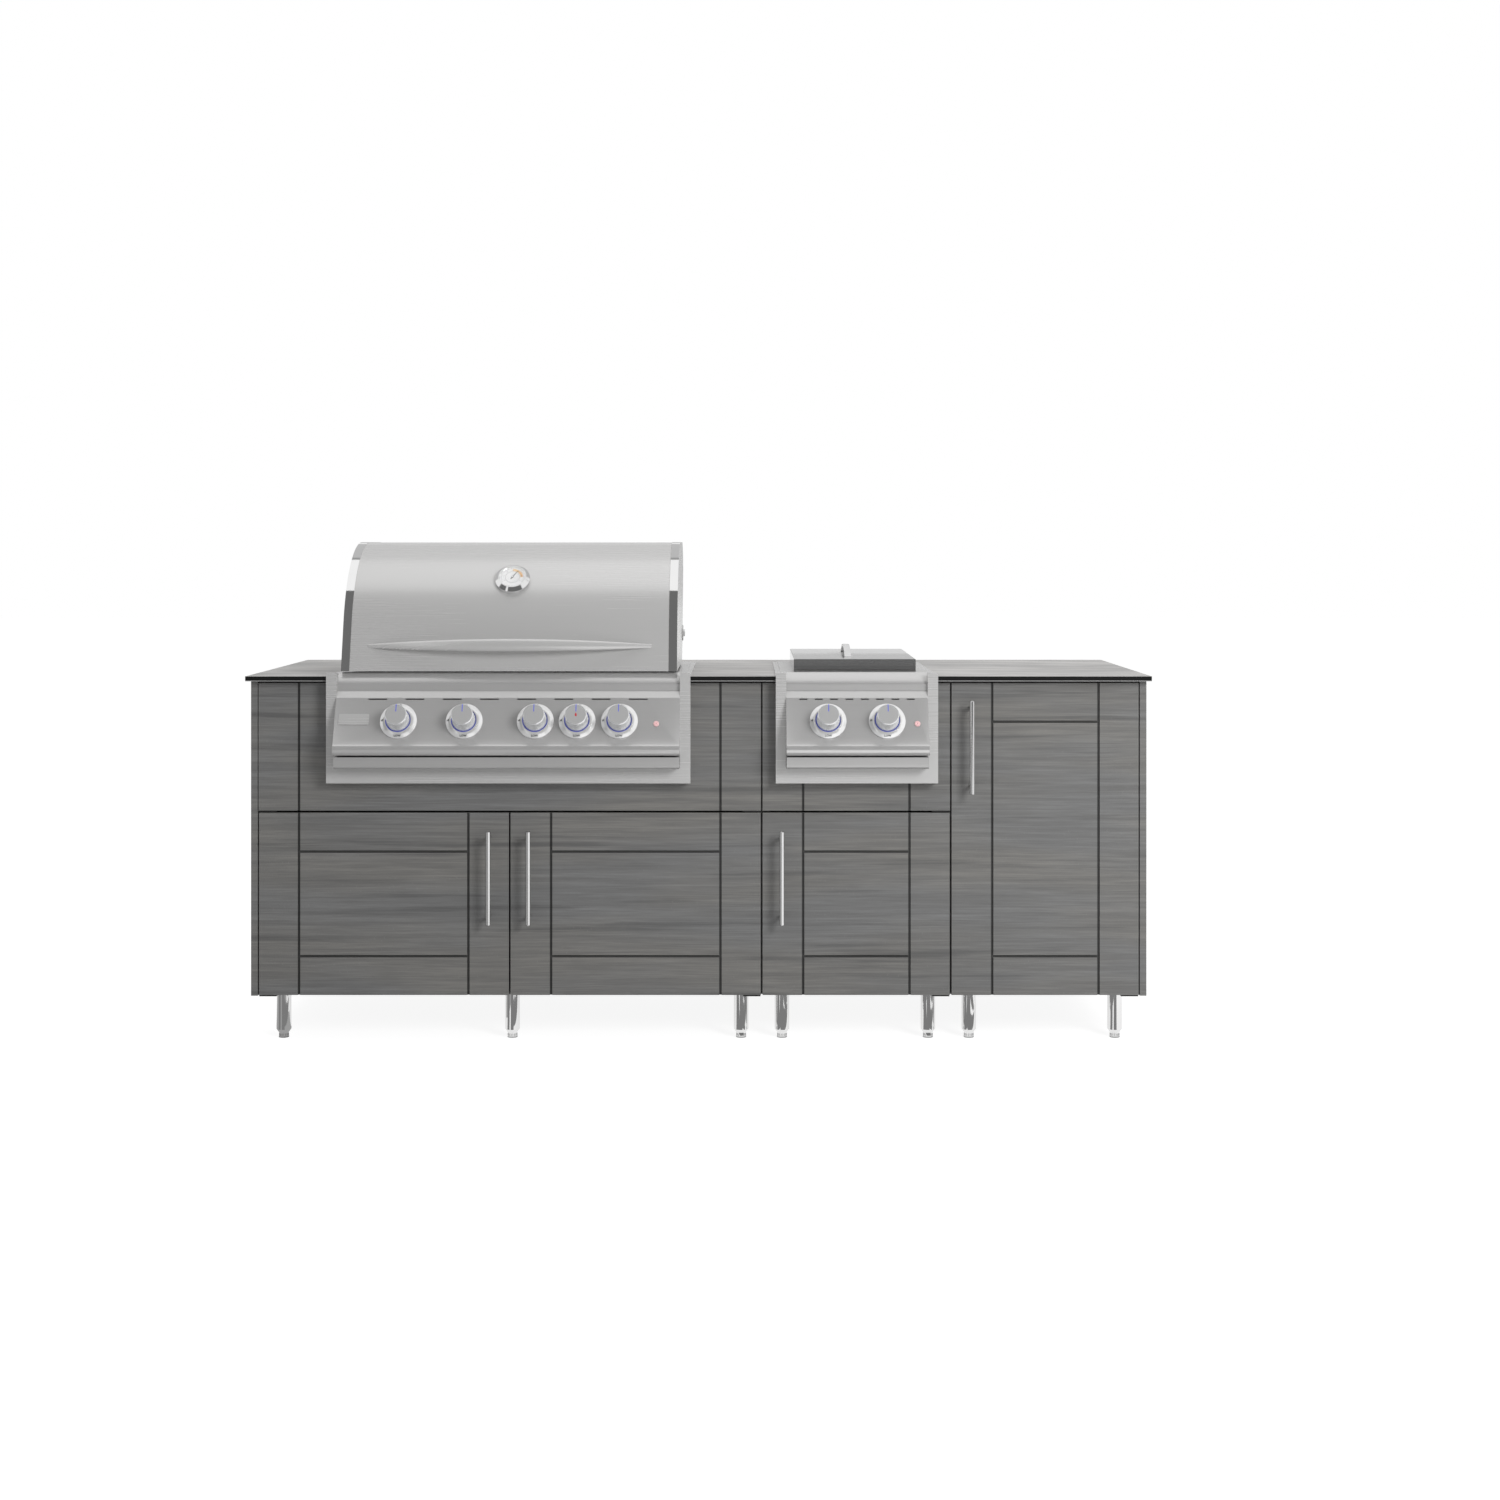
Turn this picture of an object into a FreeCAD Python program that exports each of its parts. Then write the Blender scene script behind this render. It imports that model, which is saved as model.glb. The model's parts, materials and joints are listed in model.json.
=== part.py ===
# Outdoor kitchen island: three cabinets on legs, a worktop, a drop-in gas grill and a side burner.
# Millimetres. X runs along the island, Y from the door faces to the back, Z up.
# While modelling, X = 0 is the middle of the run, Y = 0 the door faces and Z = 0 the floor.
# The saved solids are moved along Y so that the origin is under the middle of the whole object.
import FreeCAD, Part
import math
import os

V = FreeCAD.Vector

# Cabinet run
grill_cabinet_width = 1219.2
burner_cabinet_width = 457.2
storage_cabinet_width = 457.2
cabinet_depth = 711.2
leg_height = 114.3
box_height = 762.0
board = 19.0
back_board = 12.0
end_panel = 16.0
door_reveal = 2.0
door_back_gap = 2.0
fronts_top_gap = 5.3
false_front_height = 309.0
door_top_gap = 5.0
door_bottom_gap = 1.7
stile_width = 98.0
rail_width = 94.0
groove_width = 6.0
groove_depth = 4.5
fixing_rail_height = 75.0
top_rail_depth = 90.0
top_rail_setback = 62.0
shelf_height = 405.0
shelf_setback = 30.0
shelf_pin_radius = 3.0
shelf_pin_length = 20.0
shelf_pin_inset = 60.0
fit_gap = 0.3
same_place = 1e-6

# Worktop
worktop_thickness = 12.0
worktop_front_overhang = 25.4
worktop_back_overhang = 25.4
worktop_end_overhang = 8.6
cutout_gap = 2.0

# Legs
leg_end_inset = 50.0
leg_front_setback = 66.0
leg_back_setback = 50.0
leg_radius = 18.0
leg_plate_radius = 30.0
leg_plate_thickness = 4.0
foot_radius = 11.5
foot_height = 13.0
leg_taper_height = 8.0
leg_foot_lip = 1.0
stem_radius = 5.0
stem_length = 60.0
stem_gap = 0.2

# Door pivots and handles
pivot_inset = 6.0
pivot_radius = 2.5
pivot_running_gap = 0.08
pivot_engagement = 14.0
bracket_thickness = 2.0
bracket_reach = 45.0
bracket_edge_gap = 3.0
bracket_door_gap = 1.3
bracket_leaf_height = 40.0
bracket_leaf_depth = 60.0
bracket_foot_depth = 34.0
thrust_washer_radius = 4.5
door_edge_radius = 3.0
handle_bar_radius = 6.0
handle_bar_length = 226.0
handle_post_spacing = 190.0
handle_post_radius = 4.5
handle_stand_off = 38.0
handle_edge_inset = 46.0
handle_top_inset = 153.5
bar_chamfer = 1.5

# Appliance trim frame and control panel, the same section on both appliances
grill_unit_width = 825.4
burner_unit_width = 340.0
trim_border = 25.1
trim_front_y = -34.4
trim_thickness = 9.0
trim_bottom_drop = 256.7
trim_rise = 8.7
trim_sill_drop = 220.3
sheet = 2.0
jacket_back_y = 556.0
jacket_floor_drop = 248.3
rim_overlap = 20.0
panel_back_y = 8.0
roll_front_y = -30.0
roll_radius = 11.0
ledge_top_y = -33.0
ledge_front_y = -41.5
ledge_top_drop = 35.0
ledge_mid_drop = 47.0
crease_y = -37.0
crease_drop = 60.0
face_tilt_deg = 24.8
face_length = 118.0
nose_depth = 6.5
nose_height = 27.0
slot_count = 8
slot_height = 3.0
slot_down_face = 3.0
grill_slot_length = 45.0
grill_slot_end_inset = 77.3
burner_slot_length = 19.0
burner_slot_end_inset = 31.7

# Knobs, valves and light buttons
grill_knob_shares = [-0.3138, -0.1236, 0.0824, 0.2036, 0.3259]
burner_knob_shares = [-0.2076, 0.2076]
knob_down_face = 60.0
grill_button_end_inset = 55.7
burner_button_end_inset = 27.0
button_down_face = 66.0
bezel_radius = 44.0
bezel_rim_height = 4.0
bezel_height = 11.0
bezel_lip = 2.5
knob_radius = 28.0
knob_cap_radius = 26.0
knob_bezel_gap = 2.5
knob_lift = 7.0
knob_length = 43.0
knob_skirt_height = 9.0
knob_groove_depth = 1.2
knob_groove_width = 2.0
knob_cap_height = 8.0
knob_edge = 2.0
plunger_radius = 4.0
plunger_running_gap = 0.05
plunger_hole_gap = 2.0
plunger_grip = 30.0
plunger_depth = 30.0
plunger_travel = 3.0
valve_radius = 11.0
valve_stand_back = 4.0
valve_length = 36.0
valve_socket = 1.0
manifold_radius = 11.0
button_radius = 6.7
button_gap = 0.3
button_rise = 3.0
button_edge = 1.0
button_flange = 2.3
button_flange_thickness = 2.0
button_depth = 6.0

# Drip trays
tray_front_gap = 4.5
tray_front_height = 28.5
tray_front_setback = 14.0
tray_front_clearance = 0.5
tray_wall = 1.5
tray_side_inset = 52.0
tray_flange = 10.0
tray_back_y = 455.0
tray_depth = 22.0
tray_edge_radius = 9.0
rail_overlap = 8.0
rail_gap = 0.3
rail_thickness = 2.0
rail_front_y = 60.0
rail_beyond_tray = 10.0

# Firebox and what it carries
firebox_side_gap = 40.7
firebox_front_y = 32.0
firebox_back_y = 468.0
firebox_floor_drop = 143.3
firebox_rim_inset = 12.0
rim_front_gap = 4.0
rim_back_inset = 6.0
drain_width = 620.0
drain_depth = 220.0
ledge_depth = 12.0
grate_ledge_drop = 24.3
tamer_ledge_drop = 62.3
pivot_y = 428.0
pivot_rise = 86.7
back_wall_rise = 116.7
ear_front_y = 385.0
burner_tube_radius = 16.0
burner_tube_drop = 93.3
burner_tube_front_y = 24.0
burner_tube_back_y = 440.0
burner_tube_pitch = 186.0
burner_tube_count = 4
burner_bracket_depth = 36.0
rear_burner_width = 500.0
rear_burner_height = 80.0
rear_burner_depth = 24.0
rear_burner_rise = 16.7
rear_burner_frame = 8.0
rear_burner_recess = 6.0
tamer_half_width = 38.0
tamer_peak = 24.0
tamer_sheet = 1.5
tamer_end_gap = 2.0
grate_count = 3
grate_gap = 3.0
grate_bar = 8.0
grate_bar_height = 4.0
grate_rods = 11
grate_rod_width = 8.0
rack_bar = 6.0
rack_front_y = 300.0
rack_rods = 11
rack_side_gap = 0.5
supply_radius = 10.67
supply_inset = 20.7
supply_drop_y = 500.0
supply_end_drop = 288.3
supply_thread_length = 20.0
union_across = 30.0
union_height = 14.0
feed_radius = 4.0
venturi_radius = 8.0
venturi_straight = 12.0
feed_back_gap = 4.0

# Hood
hood_side_inset = 7.7
hood_front_y = -18.0
hood_bottom_gap = 3.0
hood_lean_y = 34.0
hood_lean_z = 116.0
hood_arc_radius = 271.0
hood_top_run = 162.0
hood_back_radius = 81.0
hood_tail_y = 455.0
hood_tail_rise = 50.0
hood_heel_y = 400.0
hood_skin_end_rise = 135.0
hood_sheet = 2.0
liner_gap = 14.0
liner_sheet = 1.5
trim_band_width = 20.0
trim_band_proud = 1.0
pivot_pin_radius = 5.0
pivot_pin_gap = 0.08
pivot_head_radius = 9.0
pivot_head = 4.0
pivot_boss_radius = 20.0
pivot_boss = 3.0
ear_clearance = 1.5
bow_length = 673.0
bow_stand_off = 40.0
bow_height = 30.0
bow_thickness = 17.0
bow_end_scale = 0.3
bow_end_reach = 1.02
bow_rise = 60.0
bow_tilt_deg = 6.0
bow_sections = 13
gauge_rise = 218.0
gauge_radius = 42.5
gauge_dial_radius = 31.5
gauge_height = 15.0
gauge_recess = 3.0
gauge_side_height = 7.5
gauge_bevel = 2.5
gauge_stem_radius = 4.0
gauge_stem_length = 40.0
gauge_pin_radius = 1.5
gauge_pin_gap = 0.05
gauge_pin_drop = 0.5
needle_length = 23.0
needle_tail = 7.0
needle_width = 2.4
needle_tip_width = 0.7
needle_thickness = 0.8
needle_hub_thickness = 1.2
needle_hub_radius = 3.0
needle_lift = 0.4
needle_rest_deg = -32.0

# Side burner
burner_pan_side_gap = 39.0
burner_pan_front_y = 84.0
burner_pan_back_y = 536.0
burner_pan_drop = 88.3
burner_head_radius = 45.0
burner_head_height = 26.0
burner_cap_radius = 34.0
burner_cap_height = 7.0
burner_cap_overhang = 3.0
burner_cap_edge = 2.0
burner_head_foot = 9.0
burner_head_ys = [190.0, 430.0]
burner_grate_drop = 22.3
burner_grate_inset = 6.0
burner_grate_bars = 3
burner_grate_opening = 16.0
burner_foot = 8.0
lid_side_inset = 20.5
lid_front_y = 75.0
lid_back_y = 548.0
lid_front_rise = 33.0
lid_crown = 2.0
lid_edge_radius = 3.0
lid_sheet = 1.5
lid_corner_gap = 1.0
lid_handle_front_y = 165.0
lid_handle_back_y = 405.0
lid_handle_rise = 26.0
lid_handle_width = 16.0
lid_handle_thickness = 6.0
lid_handle_offset = -12.5

# Places worked out from the sizes
run_width = grill_cabinet_width + burner_cabinet_width + storage_cabinet_width
grill_left = -run_width / 2
burner_left = grill_left + grill_cabinet_width
storage_left = burner_left + burner_cabinet_width
run_right = storage_left + storage_cabinet_width
carcass_bottom = leg_height
carcass_top = leg_height + box_height
carcass_front = board + door_back_gap
worktop_top = carcass_top + worktop_thickness
fronts_top = carcass_top - fronts_top_gap
false_front_bottom = fronts_top - false_front_height
lower_door_top = false_front_bottom - door_top_gap
door_bottom = carcass_bottom + door_bottom_gap
grill_x = grill_left + grill_cabinet_width / 2
burner_x = burner_left + burner_cabinet_width / 2
trim_top = worktop_top + trim_rise
rim_z = worktop_top
trim_bottom_z = worktop_top - trim_bottom_drop
trim_sill_z = worktop_top - trim_sill_drop
jacket_floor_z = worktop_top - jacket_floor_drop
firebox_floor_z = worktop_top - firebox_floor_drop
grate_ledge_z = worktop_top - grate_ledge_drop
tamer_ledge_z = worktop_top - tamer_ledge_drop
burner_tube_z = worktop_top - burner_tube_drop
supply_end_z = worktop_top - supply_end_drop
burner_pan_floor_z = worktop_top - burner_pan_drop
burner_grate_z = worktop_top - burner_grate_drop
pivot_z = worktop_top + pivot_rise
back_wall_top_z = worktop_top + back_wall_rise
rear_burner_z = worktop_top + rear_burner_rise
hood_bottom_z = trim_top + hood_bottom_gap
hood_tail_z = hood_bottom_z + hood_tail_rise
hood_skin_end_z = hood_bottom_z + hood_skin_end_rise
bow_z = hood_bottom_z + bow_rise
gauge_z = hood_bottom_z + gauge_rise
rim_top = rim_z + sheet
panel_top = trim_top
panel_bottom = panel_top - crease_drop - face_length * math.cos(math.radians(face_tilt_deg)) - nose_height
nose_front_y = crease_y - face_length * math.sin(math.radians(face_tilt_deg)) - nose_depth
firebox_top = rim_top + sheet
firebox_width = grill_unit_width - 2 * firebox_side_gap
hood_width = grill_unit_width - 2 * hood_side_inset
burner_pan_width = burner_unit_width - 2 * burner_pan_side_gap
lid_width = burner_unit_width - 2 * lid_side_inset
grill_knob_offsets = [share * grill_unit_width for share in grill_knob_shares]
burner_knob_offsets = [share * burner_unit_width for share in burner_knob_shares]
grill_button_offset = grill_unit_width / 2 - grill_button_end_inset
burner_button_offset = burner_unit_width / 2 - burner_button_end_inset
grill_slot_pitch = (grill_unit_width - 2 * grill_slot_end_inset - grill_slot_length) / (slot_count - 1)
burner_slot_pitch = (burner_unit_width - 2 * burner_slot_end_inset - burner_slot_length) / (slot_count - 1)


def box(x0, x1, y0, y1, z0, z1):
    return Part.makeBox(x1 - x0, y1 - y0, z1 - z0, V(x0, y0, z0))


def rod(start, end, radius):
    run = end.sub(start)
    return Part.makeCylinder(radius, run.Length, start, run)


def join(shapes):
    first = shapes[0]
    return first.multiFuse(shapes[1:]).removeSplitter() if len(shapes) > 1 else first


def group(shapes):
    return Part.makeCompound(shapes)


def face_from_edges(edges):
    return Part.Face(Part.Wire(edges))


def line(a, b):
    return Part.LineSegment(a, b).toShape()


def arc(a, middle, b):
    return Part.Arc(a, middle, b).toShape()


def side_point(y, z, x=0.0):
    return V(x, y, z)


def side_polygon(points, x0, x1):
    """A prism along X whose section is a polygon of (y, z) points."""
    corners = [side_point(y, z, x0) for y, z in points]
    wire = Part.makePolygon(corners + [corners[0]])
    return Part.Face(wire).extrude(V(x1 - x0, 0, 0))


def front_polygon(points, y0, y1):
    """A prism along Y whose section is a polygon of (x, z) points."""
    corners = [V(x, y0, z) for x, z in points]
    wire = Part.makePolygon(corners + [corners[0]])
    return Part.Face(wire).extrude(V(0, y1 - y0, 0))


def turned(profile, origin, axis):
    """Revolve a closed (radius, height) profile about the axis through origin."""
    corners = [V(r, 0, h) for r, h in profile]
    solid = Part.Face(Part.makePolygon(corners + [corners[0]])).revolve(V(0, 0, 0), V(0, 0, 1), 360)
    solid.Placement = FreeCAD.Placement(origin, FreeCAD.Rotation(V(0, 0, 1), axis))
    return solid


# Cabinets

def cabinet_box(left, width, tall):
    """Two sides, floor, back and a front rail; a tall cabinet has a flat rail at the top instead."""
    right = left + width
    inner_left = left + board
    inner_right = right - board
    back_y = cabinet_depth - back_board
    floor_top = carcass_bottom + board
    boards = [
        box(left, inner_left, carcass_front, cabinet_depth, carcass_bottom, carcass_top),
        box(inner_right, right, carcass_front, cabinet_depth, carcass_bottom, carcass_top),
        box(inner_left, inner_right, carcass_front, cabinet_depth, carcass_bottom, floor_top),
        box(inner_left, inner_right, back_y, cabinet_depth, floor_top, carcass_top),
    ]
    if tall:
        for y0 in (top_rail_setback, back_y - top_rail_depth):
            boards.append(box(inner_left, inner_right, y0, y0 + top_rail_depth,
                              carcass_top - board, carcass_top))
    else:
        boards.append(box(inner_left, inner_right, board, board * 2,
                          false_front_bottom, false_front_bottom + fixing_rail_height))
    return boards


def end_panels():
    return group([
        box(grill_left - end_panel, grill_left, 0, cabinet_depth, carcass_bottom, carcass_top),
        box(run_right, run_right + end_panel, 0, cabinet_depth, carcass_bottom, carcass_top),
    ])


def storage_box():
    boards = cabinet_box(storage_left, storage_cabinet_width, True)
    return group([board_solid.cut(group(shelf_pins())) for board_solid in boards])


def shelf_pins():
    pins = []
    pin_z = shelf_height - shelf_pin_radius
    for x_wall, inward in ((storage_left + board, 1), (run_right - board, -1)):
        for y in (carcass_front + shelf_setback + shelf_pin_inset,
                  cabinet_depth - back_board - shelf_pin_inset):
            start = V(x_wall - inward * shelf_pin_length / 2, y, pin_z)
            pins.append(rod(start, start.add(V(inward * shelf_pin_length, 0, 0)), shelf_pin_radius))
    return pins


def storage_shelf():
    shelf = box(storage_left + board + fit_gap, run_right - board - fit_gap,
                carcass_front + shelf_setback, cabinet_depth - back_board - fit_gap,
                shelf_height, shelf_height + board)
    return group([shelf] + shelf_pins())


def grooved_board(x0, x1, z0, z1, has_rails):
    """A board with routed lines that divide it into stiles, and into rails where it has them."""
    left = x0 + stile_width
    right = x1 - stile_width
    half = groove_width / 2
    solid = box(x0, x1, 0, board, z0, z1)
    cuts = [box(x - half, x + half, 0, groove_depth, z0, z1) for x in (left, right)]
    if has_rails:
        for z in (z0 + rail_width, z1 - rail_width):
            cuts.append(box(left, right, 0, groove_depth, z - half, z + half))
    return solid.cut(group(cuts))


def false_front(left, width, centre, unit_width):
    solid = grooved_board(left + door_reveal, left + width - door_reveal, false_front_bottom, fronts_top,
                          False)
    half = unit_width / 2 + sheet + cutout_gap
    return solid.cut(box(centre - half, centre + half, 0, board, jacket_floor_z - cutout_gap, fronts_top))


# Doors: name, left edge of its opening, width of its opening, top, hinge side
doors = [
    ("left_door", grill_left, grill_cabinet_width / 2, lower_door_top, -1),
    ("center_door", grill_x, grill_cabinet_width / 2, lower_door_top, 1),
    ("burner_door", burner_left, burner_cabinet_width, lower_door_top, 1),
    ("storage_door", storage_left, storage_cabinet_width, fronts_top, 1),
]


def hinge_edge(left, width, side):
    """X of the door edge that carries the pivots, and of the cabinet side behind it."""
    if side < 0:
        return left + door_reveal, left
    return left + width - door_reveal, left + width


def pivot_axis_x(left, width, side):
    edge = hinge_edge(left, width, side)[0]
    return edge - side * pivot_inset


def door(left, width, top, side):
    x0 = left + door_reveal
    x1 = left + width - door_reveal
    solid = grooved_board(x0, x1, door_bottom, top, True)
    edge_x = hinge_edge(left, width, side)[0]
    outer_edges = [e for e in solid.Edges
                   if all(abs(v.X - edge_x) < same_place and abs(v.Y) < same_place for v in e.Vertexes)]
    solid = solid.makeFillet(door_edge_radius, outer_edges)
    axis_x = pivot_axis_x(left, width, side)
    hole_radius = pivot_radius + pivot_running_gap
    depth = pivot_engagement + fit_gap * 2
    low = rod(V(axis_x, pivot_inset, door_bottom), V(axis_x, pivot_inset, door_bottom + depth), hole_radius)
    high = rod(V(axis_x, pivot_inset, top - depth), V(axis_x, pivot_inset, top), hole_radius)
    return solid.cut(group([low, high]))


def door_brackets(left, width, top, side):
    """A plate and pin under the door, and a plate, leaf and pin over it."""
    wall = hinge_edge(left, width, side)[1]
    axis_x = pivot_axis_x(left, width, side)

    def span(a, b):
        return sorted((wall - side * a, wall - side * b))

    near_front = door_back_gap + board - fit_gap
    low_top = carcass_bottom
    x0, x1 = span(bracket_edge_gap, bracket_reach)
    low_plate = box(x0, x1, bracket_edge_gap, bracket_foot_depth, low_top - bracket_thickness, low_top)
    washer = rod(V(axis_x, pivot_inset, low_top), V(axis_x, pivot_inset, door_bottom - fit_gap),
                 thrust_washer_radius)
    low_pin = rod(V(axis_x, pivot_inset, low_top), V(axis_x, pivot_inset, door_bottom + pivot_engagement),
                  pivot_radius)
    low = join([low_plate, washer, low_pin])

    plate_z = top + bracket_door_gap
    inner0, inner1 = span(board, bracket_reach)
    leaf0, leaf1 = span(board, board + bracket_thickness)
    high = join([
        box(x0, x1, bracket_edge_gap, near_front, plate_z, plate_z + bracket_thickness),
        box(inner0, inner1, near_front, bracket_leaf_depth, plate_z, plate_z + bracket_thickness),
        box(leaf0, leaf1, near_front, bracket_leaf_depth, plate_z - bracket_leaf_height,
            plate_z + bracket_thickness),
        rod(V(axis_x, pivot_inset, plate_z), V(axis_x, pivot_inset, top - pivot_engagement), pivot_radius),
    ])
    return [low, high]


def door_handle(left, width, top, side):
    """A round bar on two posts, beside the door's free edge."""
    free_edge = left + door_reveal if side > 0 else left + width - door_reveal
    x = free_edge + side * handle_edge_inset
    z = top - handle_top_inset
    half = handle_bar_length / 2
    y = -handle_stand_off
    tip = handle_bar_radius - bar_chamfer
    profile = [(0, -half), (tip, -half), (handle_bar_radius, -half + bar_chamfer),
               (handle_bar_radius, half - bar_chamfer), (tip, half), (0, half)]
    bar = turned(profile, V(x, y, z), V(0, 0, 1))
    posts = [rod(V(x, 0, z + s * handle_post_spacing / 2), V(x, y, z + s * handle_post_spacing / 2),
                 handle_post_radius) for s in (-1, 1)]
    return join([bar] + posts)


# Legs

def leg_places():
    """Leg axes: inset from both ends of each cabinet, in a front and a back row.

    The wide grill cabinet has one more leg in the middle of each row.
    """
    xs = []
    for left, width in ((grill_left, grill_cabinet_width), (burner_left, burner_cabinet_width),
                        (storage_left, storage_cabinet_width)):
        xs += [left + leg_end_inset, left + width - leg_end_inset]
    xs.append(grill_x)
    ys = (leg_front_setback, cabinet_depth - leg_back_setback)
    return [(x, y) for y in ys for x in sorted(xs)]


def leg_tube(x, y):
    bore = stem_radius + stem_gap
    plate_z = leg_height - leg_plate_thickness
    shoulder_z = foot_height + leg_taper_height
    profile = [(bore, foot_height), (foot_radius + leg_foot_lip, foot_height), (leg_radius, shoulder_z),
               (leg_radius, plate_z), (leg_plate_radius, plate_z), (leg_plate_radius, leg_height),
               (0, leg_height), (0, foot_height + stem_length), (bore, foot_height + stem_length)]
    return turned(profile, V(x, y, 0), V(0, 0, 1))


def levelling_foot(x, y):
    profile = [(0, 0), (foot_radius, 0), (foot_radius, foot_height), (stem_radius, foot_height),
               (stem_radius, foot_height + stem_length - fit_gap), (0, foot_height + stem_length - fit_gap)]
    return turned(profile, V(x, y, 0), V(0, 0, 1))


def countertop():
    x_end = run_width / 2 + end_panel + worktop_end_overhang
    front = -worktop_front_overhang
    slab = box(-x_end, x_end, front, cabinet_depth + worktop_back_overhang, carcass_top, worktop_top)
    notches = []
    for centre, width in ((grill_x, grill_unit_width), (burner_x, burner_unit_width)):
        half = width / 2 + sheet + cutout_gap
        notches.append(box(centre - half, centre + half, front, jacket_back_y + sheet + cutout_gap,
                           carcass_top, worktop_top))
    return slab.cut(group(notches))


# Appliance front: trim frame, liner, folded control panel and drip tray

def tilt():
    return math.radians(face_tilt_deg)


def face_point(distance):
    """(y, z) of the point this far down the sloping face from the crease."""
    y = crease_y - distance * math.sin(tilt())
    z = panel_top - crease_drop - distance * math.cos(tilt())
    return y, z


def face_axis():
    """Unit vector out of the sloping face, towards the cook."""
    return V(0, -math.cos(tilt()), math.sin(tilt()))


def on_face(x, distance, height=0.0):
    y, z = face_point(distance)
    return V(x, y, z).add(face_axis().multiply(height))


def panel_outline():
    """Closed section of the control panel: top roll, ledge, sloping face and rounded nose."""
    roll_y = roll_front_y + roll_radius
    roll_bottom = panel_top - 2 * roll_radius
    crease = face_point(0)
    face_end = face_point(face_length)
    nose_under = (face_end[0] + nose_depth / 2, panel_bottom)
    edges = [
        line(side_point(panel_back_y, panel_top), side_point(roll_y, panel_top)),
        arc(side_point(roll_y, panel_top), side_point(roll_front_y, panel_top - roll_radius),
            side_point(roll_y, roll_bottom)),
        line(side_point(roll_y, roll_bottom), side_point(ledge_top_y, panel_top - ledge_top_drop)),
        arc(side_point(ledge_top_y, panel_top - ledge_top_drop),
            side_point(ledge_front_y, panel_top - ledge_mid_drop), side_point(*crease)),
        line(side_point(*crease), side_point(*face_end)),
        arc(side_point(*face_end), side_point(nose_front_y, panel_bottom + nose_height / 2),
            side_point(*nose_under)),
        line(side_point(*nose_under), side_point(panel_back_y, panel_bottom)),
        line(side_point(panel_back_y, panel_bottom), side_point(panel_back_y, panel_top)),
    ]
    return face_from_edges(edges)


def control_panel(centre, width, knob_offsets, button_offset, slot_length, slot_pitch):
    """A folded sheet with closed ends and an open back, bored for the valves and the light button."""
    half = width / 2
    outline = panel_outline()
    shell = outline.extrude(V(width, 0, 0))
    shell.translate(V(centre - half, 0, 0))
    hollow = outline.makeOffset2D(-sheet).extrude(V(width - 2 * sheet, 0, 0))
    hollow.translate(V(centre - half + sheet, 0, 0))
    open_back = box(centre - half + sheet, centre + half - sheet, panel_back_y - sheet * 2, panel_back_y,
                    panel_bottom + sheet, panel_top - sheet)
    cuts = [hollow, open_back]
    for offset in knob_offsets:
        start = on_face(centre + offset, knob_down_face, sheet)
        end = on_face(centre + offset, knob_down_face, -sheet * 2)
        cuts.append(rod(start, end, plunger_radius + plunger_hole_gap))
    start = on_face(centre + button_offset, button_down_face, sheet)
    end = on_face(centre + button_offset, button_down_face, -sheet * 2)
    cuts.append(rod(start, end, button_radius + button_gap))
    for i in range(slot_count):
        x = centre + (i - (slot_count - 1) / 2) * slot_pitch
        y, z = face_point(slot_down_face)
        cuts.append(box(x - slot_length / 2, x + slot_length / 2, y - sheet, y + sheet * 3,
                        z - slot_height / 2, z + slot_height / 2))
    return shell.cut(group(cuts))


def trim_and_jacket(centre, width):
    """The liner that hangs in the worktop: trim frame, return lips, walls, floor, rim and tray rails."""
    half = width / 2
    outer = half + sheet
    border = half + trim_border
    trim_back = trim_front_y + trim_thickness
    frame = box(centre - border, centre + border, trim_front_y, trim_back, trim_bottom_z, trim_top)
    frame = frame.cut(box(centre - half, centre + half, trim_front_y, trim_back, trim_sill_z, trim_top))
    pieces = [frame]
    for s in (-1, 1):
        lip = sorted((centre + s * border, centre + s * (border - sheet)))
        wall = sorted((centre + s * half, centre + s * outer))
        rail = sorted((centre + s * half, centre + s * (half - tray_side_inset + rail_overlap)))
        rail_top = tray_flange_z() - rail_gap
        pieces.append(box(lip[0], lip[1], trim_back, 0, trim_bottom_z, carcass_top))
        pieces.append(box(wall[0], wall[1], trim_back, jacket_back_y, jacket_floor_z, rim_top))
        pieces.append(box(rail[0], rail[1], rail_front_y, tray_back_y + rail_beyond_tray,
                          rail_top - rail_thickness, rail_top))
    pieces.append(box(centre - border, centre + border, trim_back, 0, trim_bottom_z, trim_bottom_z + sheet))
    floor = box(centre - outer, centre + outer, trim_back, jacket_back_y + sheet, jacket_floor_z - sheet,
                jacket_floor_z)
    pipe_x = supply_x(centre, width)
    hole = rod(V(pipe_x, supply_drop_y, jacket_floor_z - sheet), V(pipe_x, supply_drop_y, jacket_floor_z),
               supply_radius)
    pieces.append(floor.cut(hole))
    pieces.append(box(centre - outer, centre + outer, jacket_back_y, jacket_back_y + sheet,
                      jacket_floor_z, rim_top))
    rim = box(centre - border, centre + border, trim_back, jacket_back_y + rim_overlap, rim_z, rim_top)
    rim = rim.cut(box(centre - half, centre + half, trim_back, jacket_back_y, rim_z, rim_top))
    pieces.append(rim)
    return join(pieces)


def tray_top():
    return panel_bottom - tray_front_gap


def tray_flange_z():
    """Underside of the flanges that hang the tray on its rails."""
    return tray_top() - 3 * tray_wall


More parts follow.
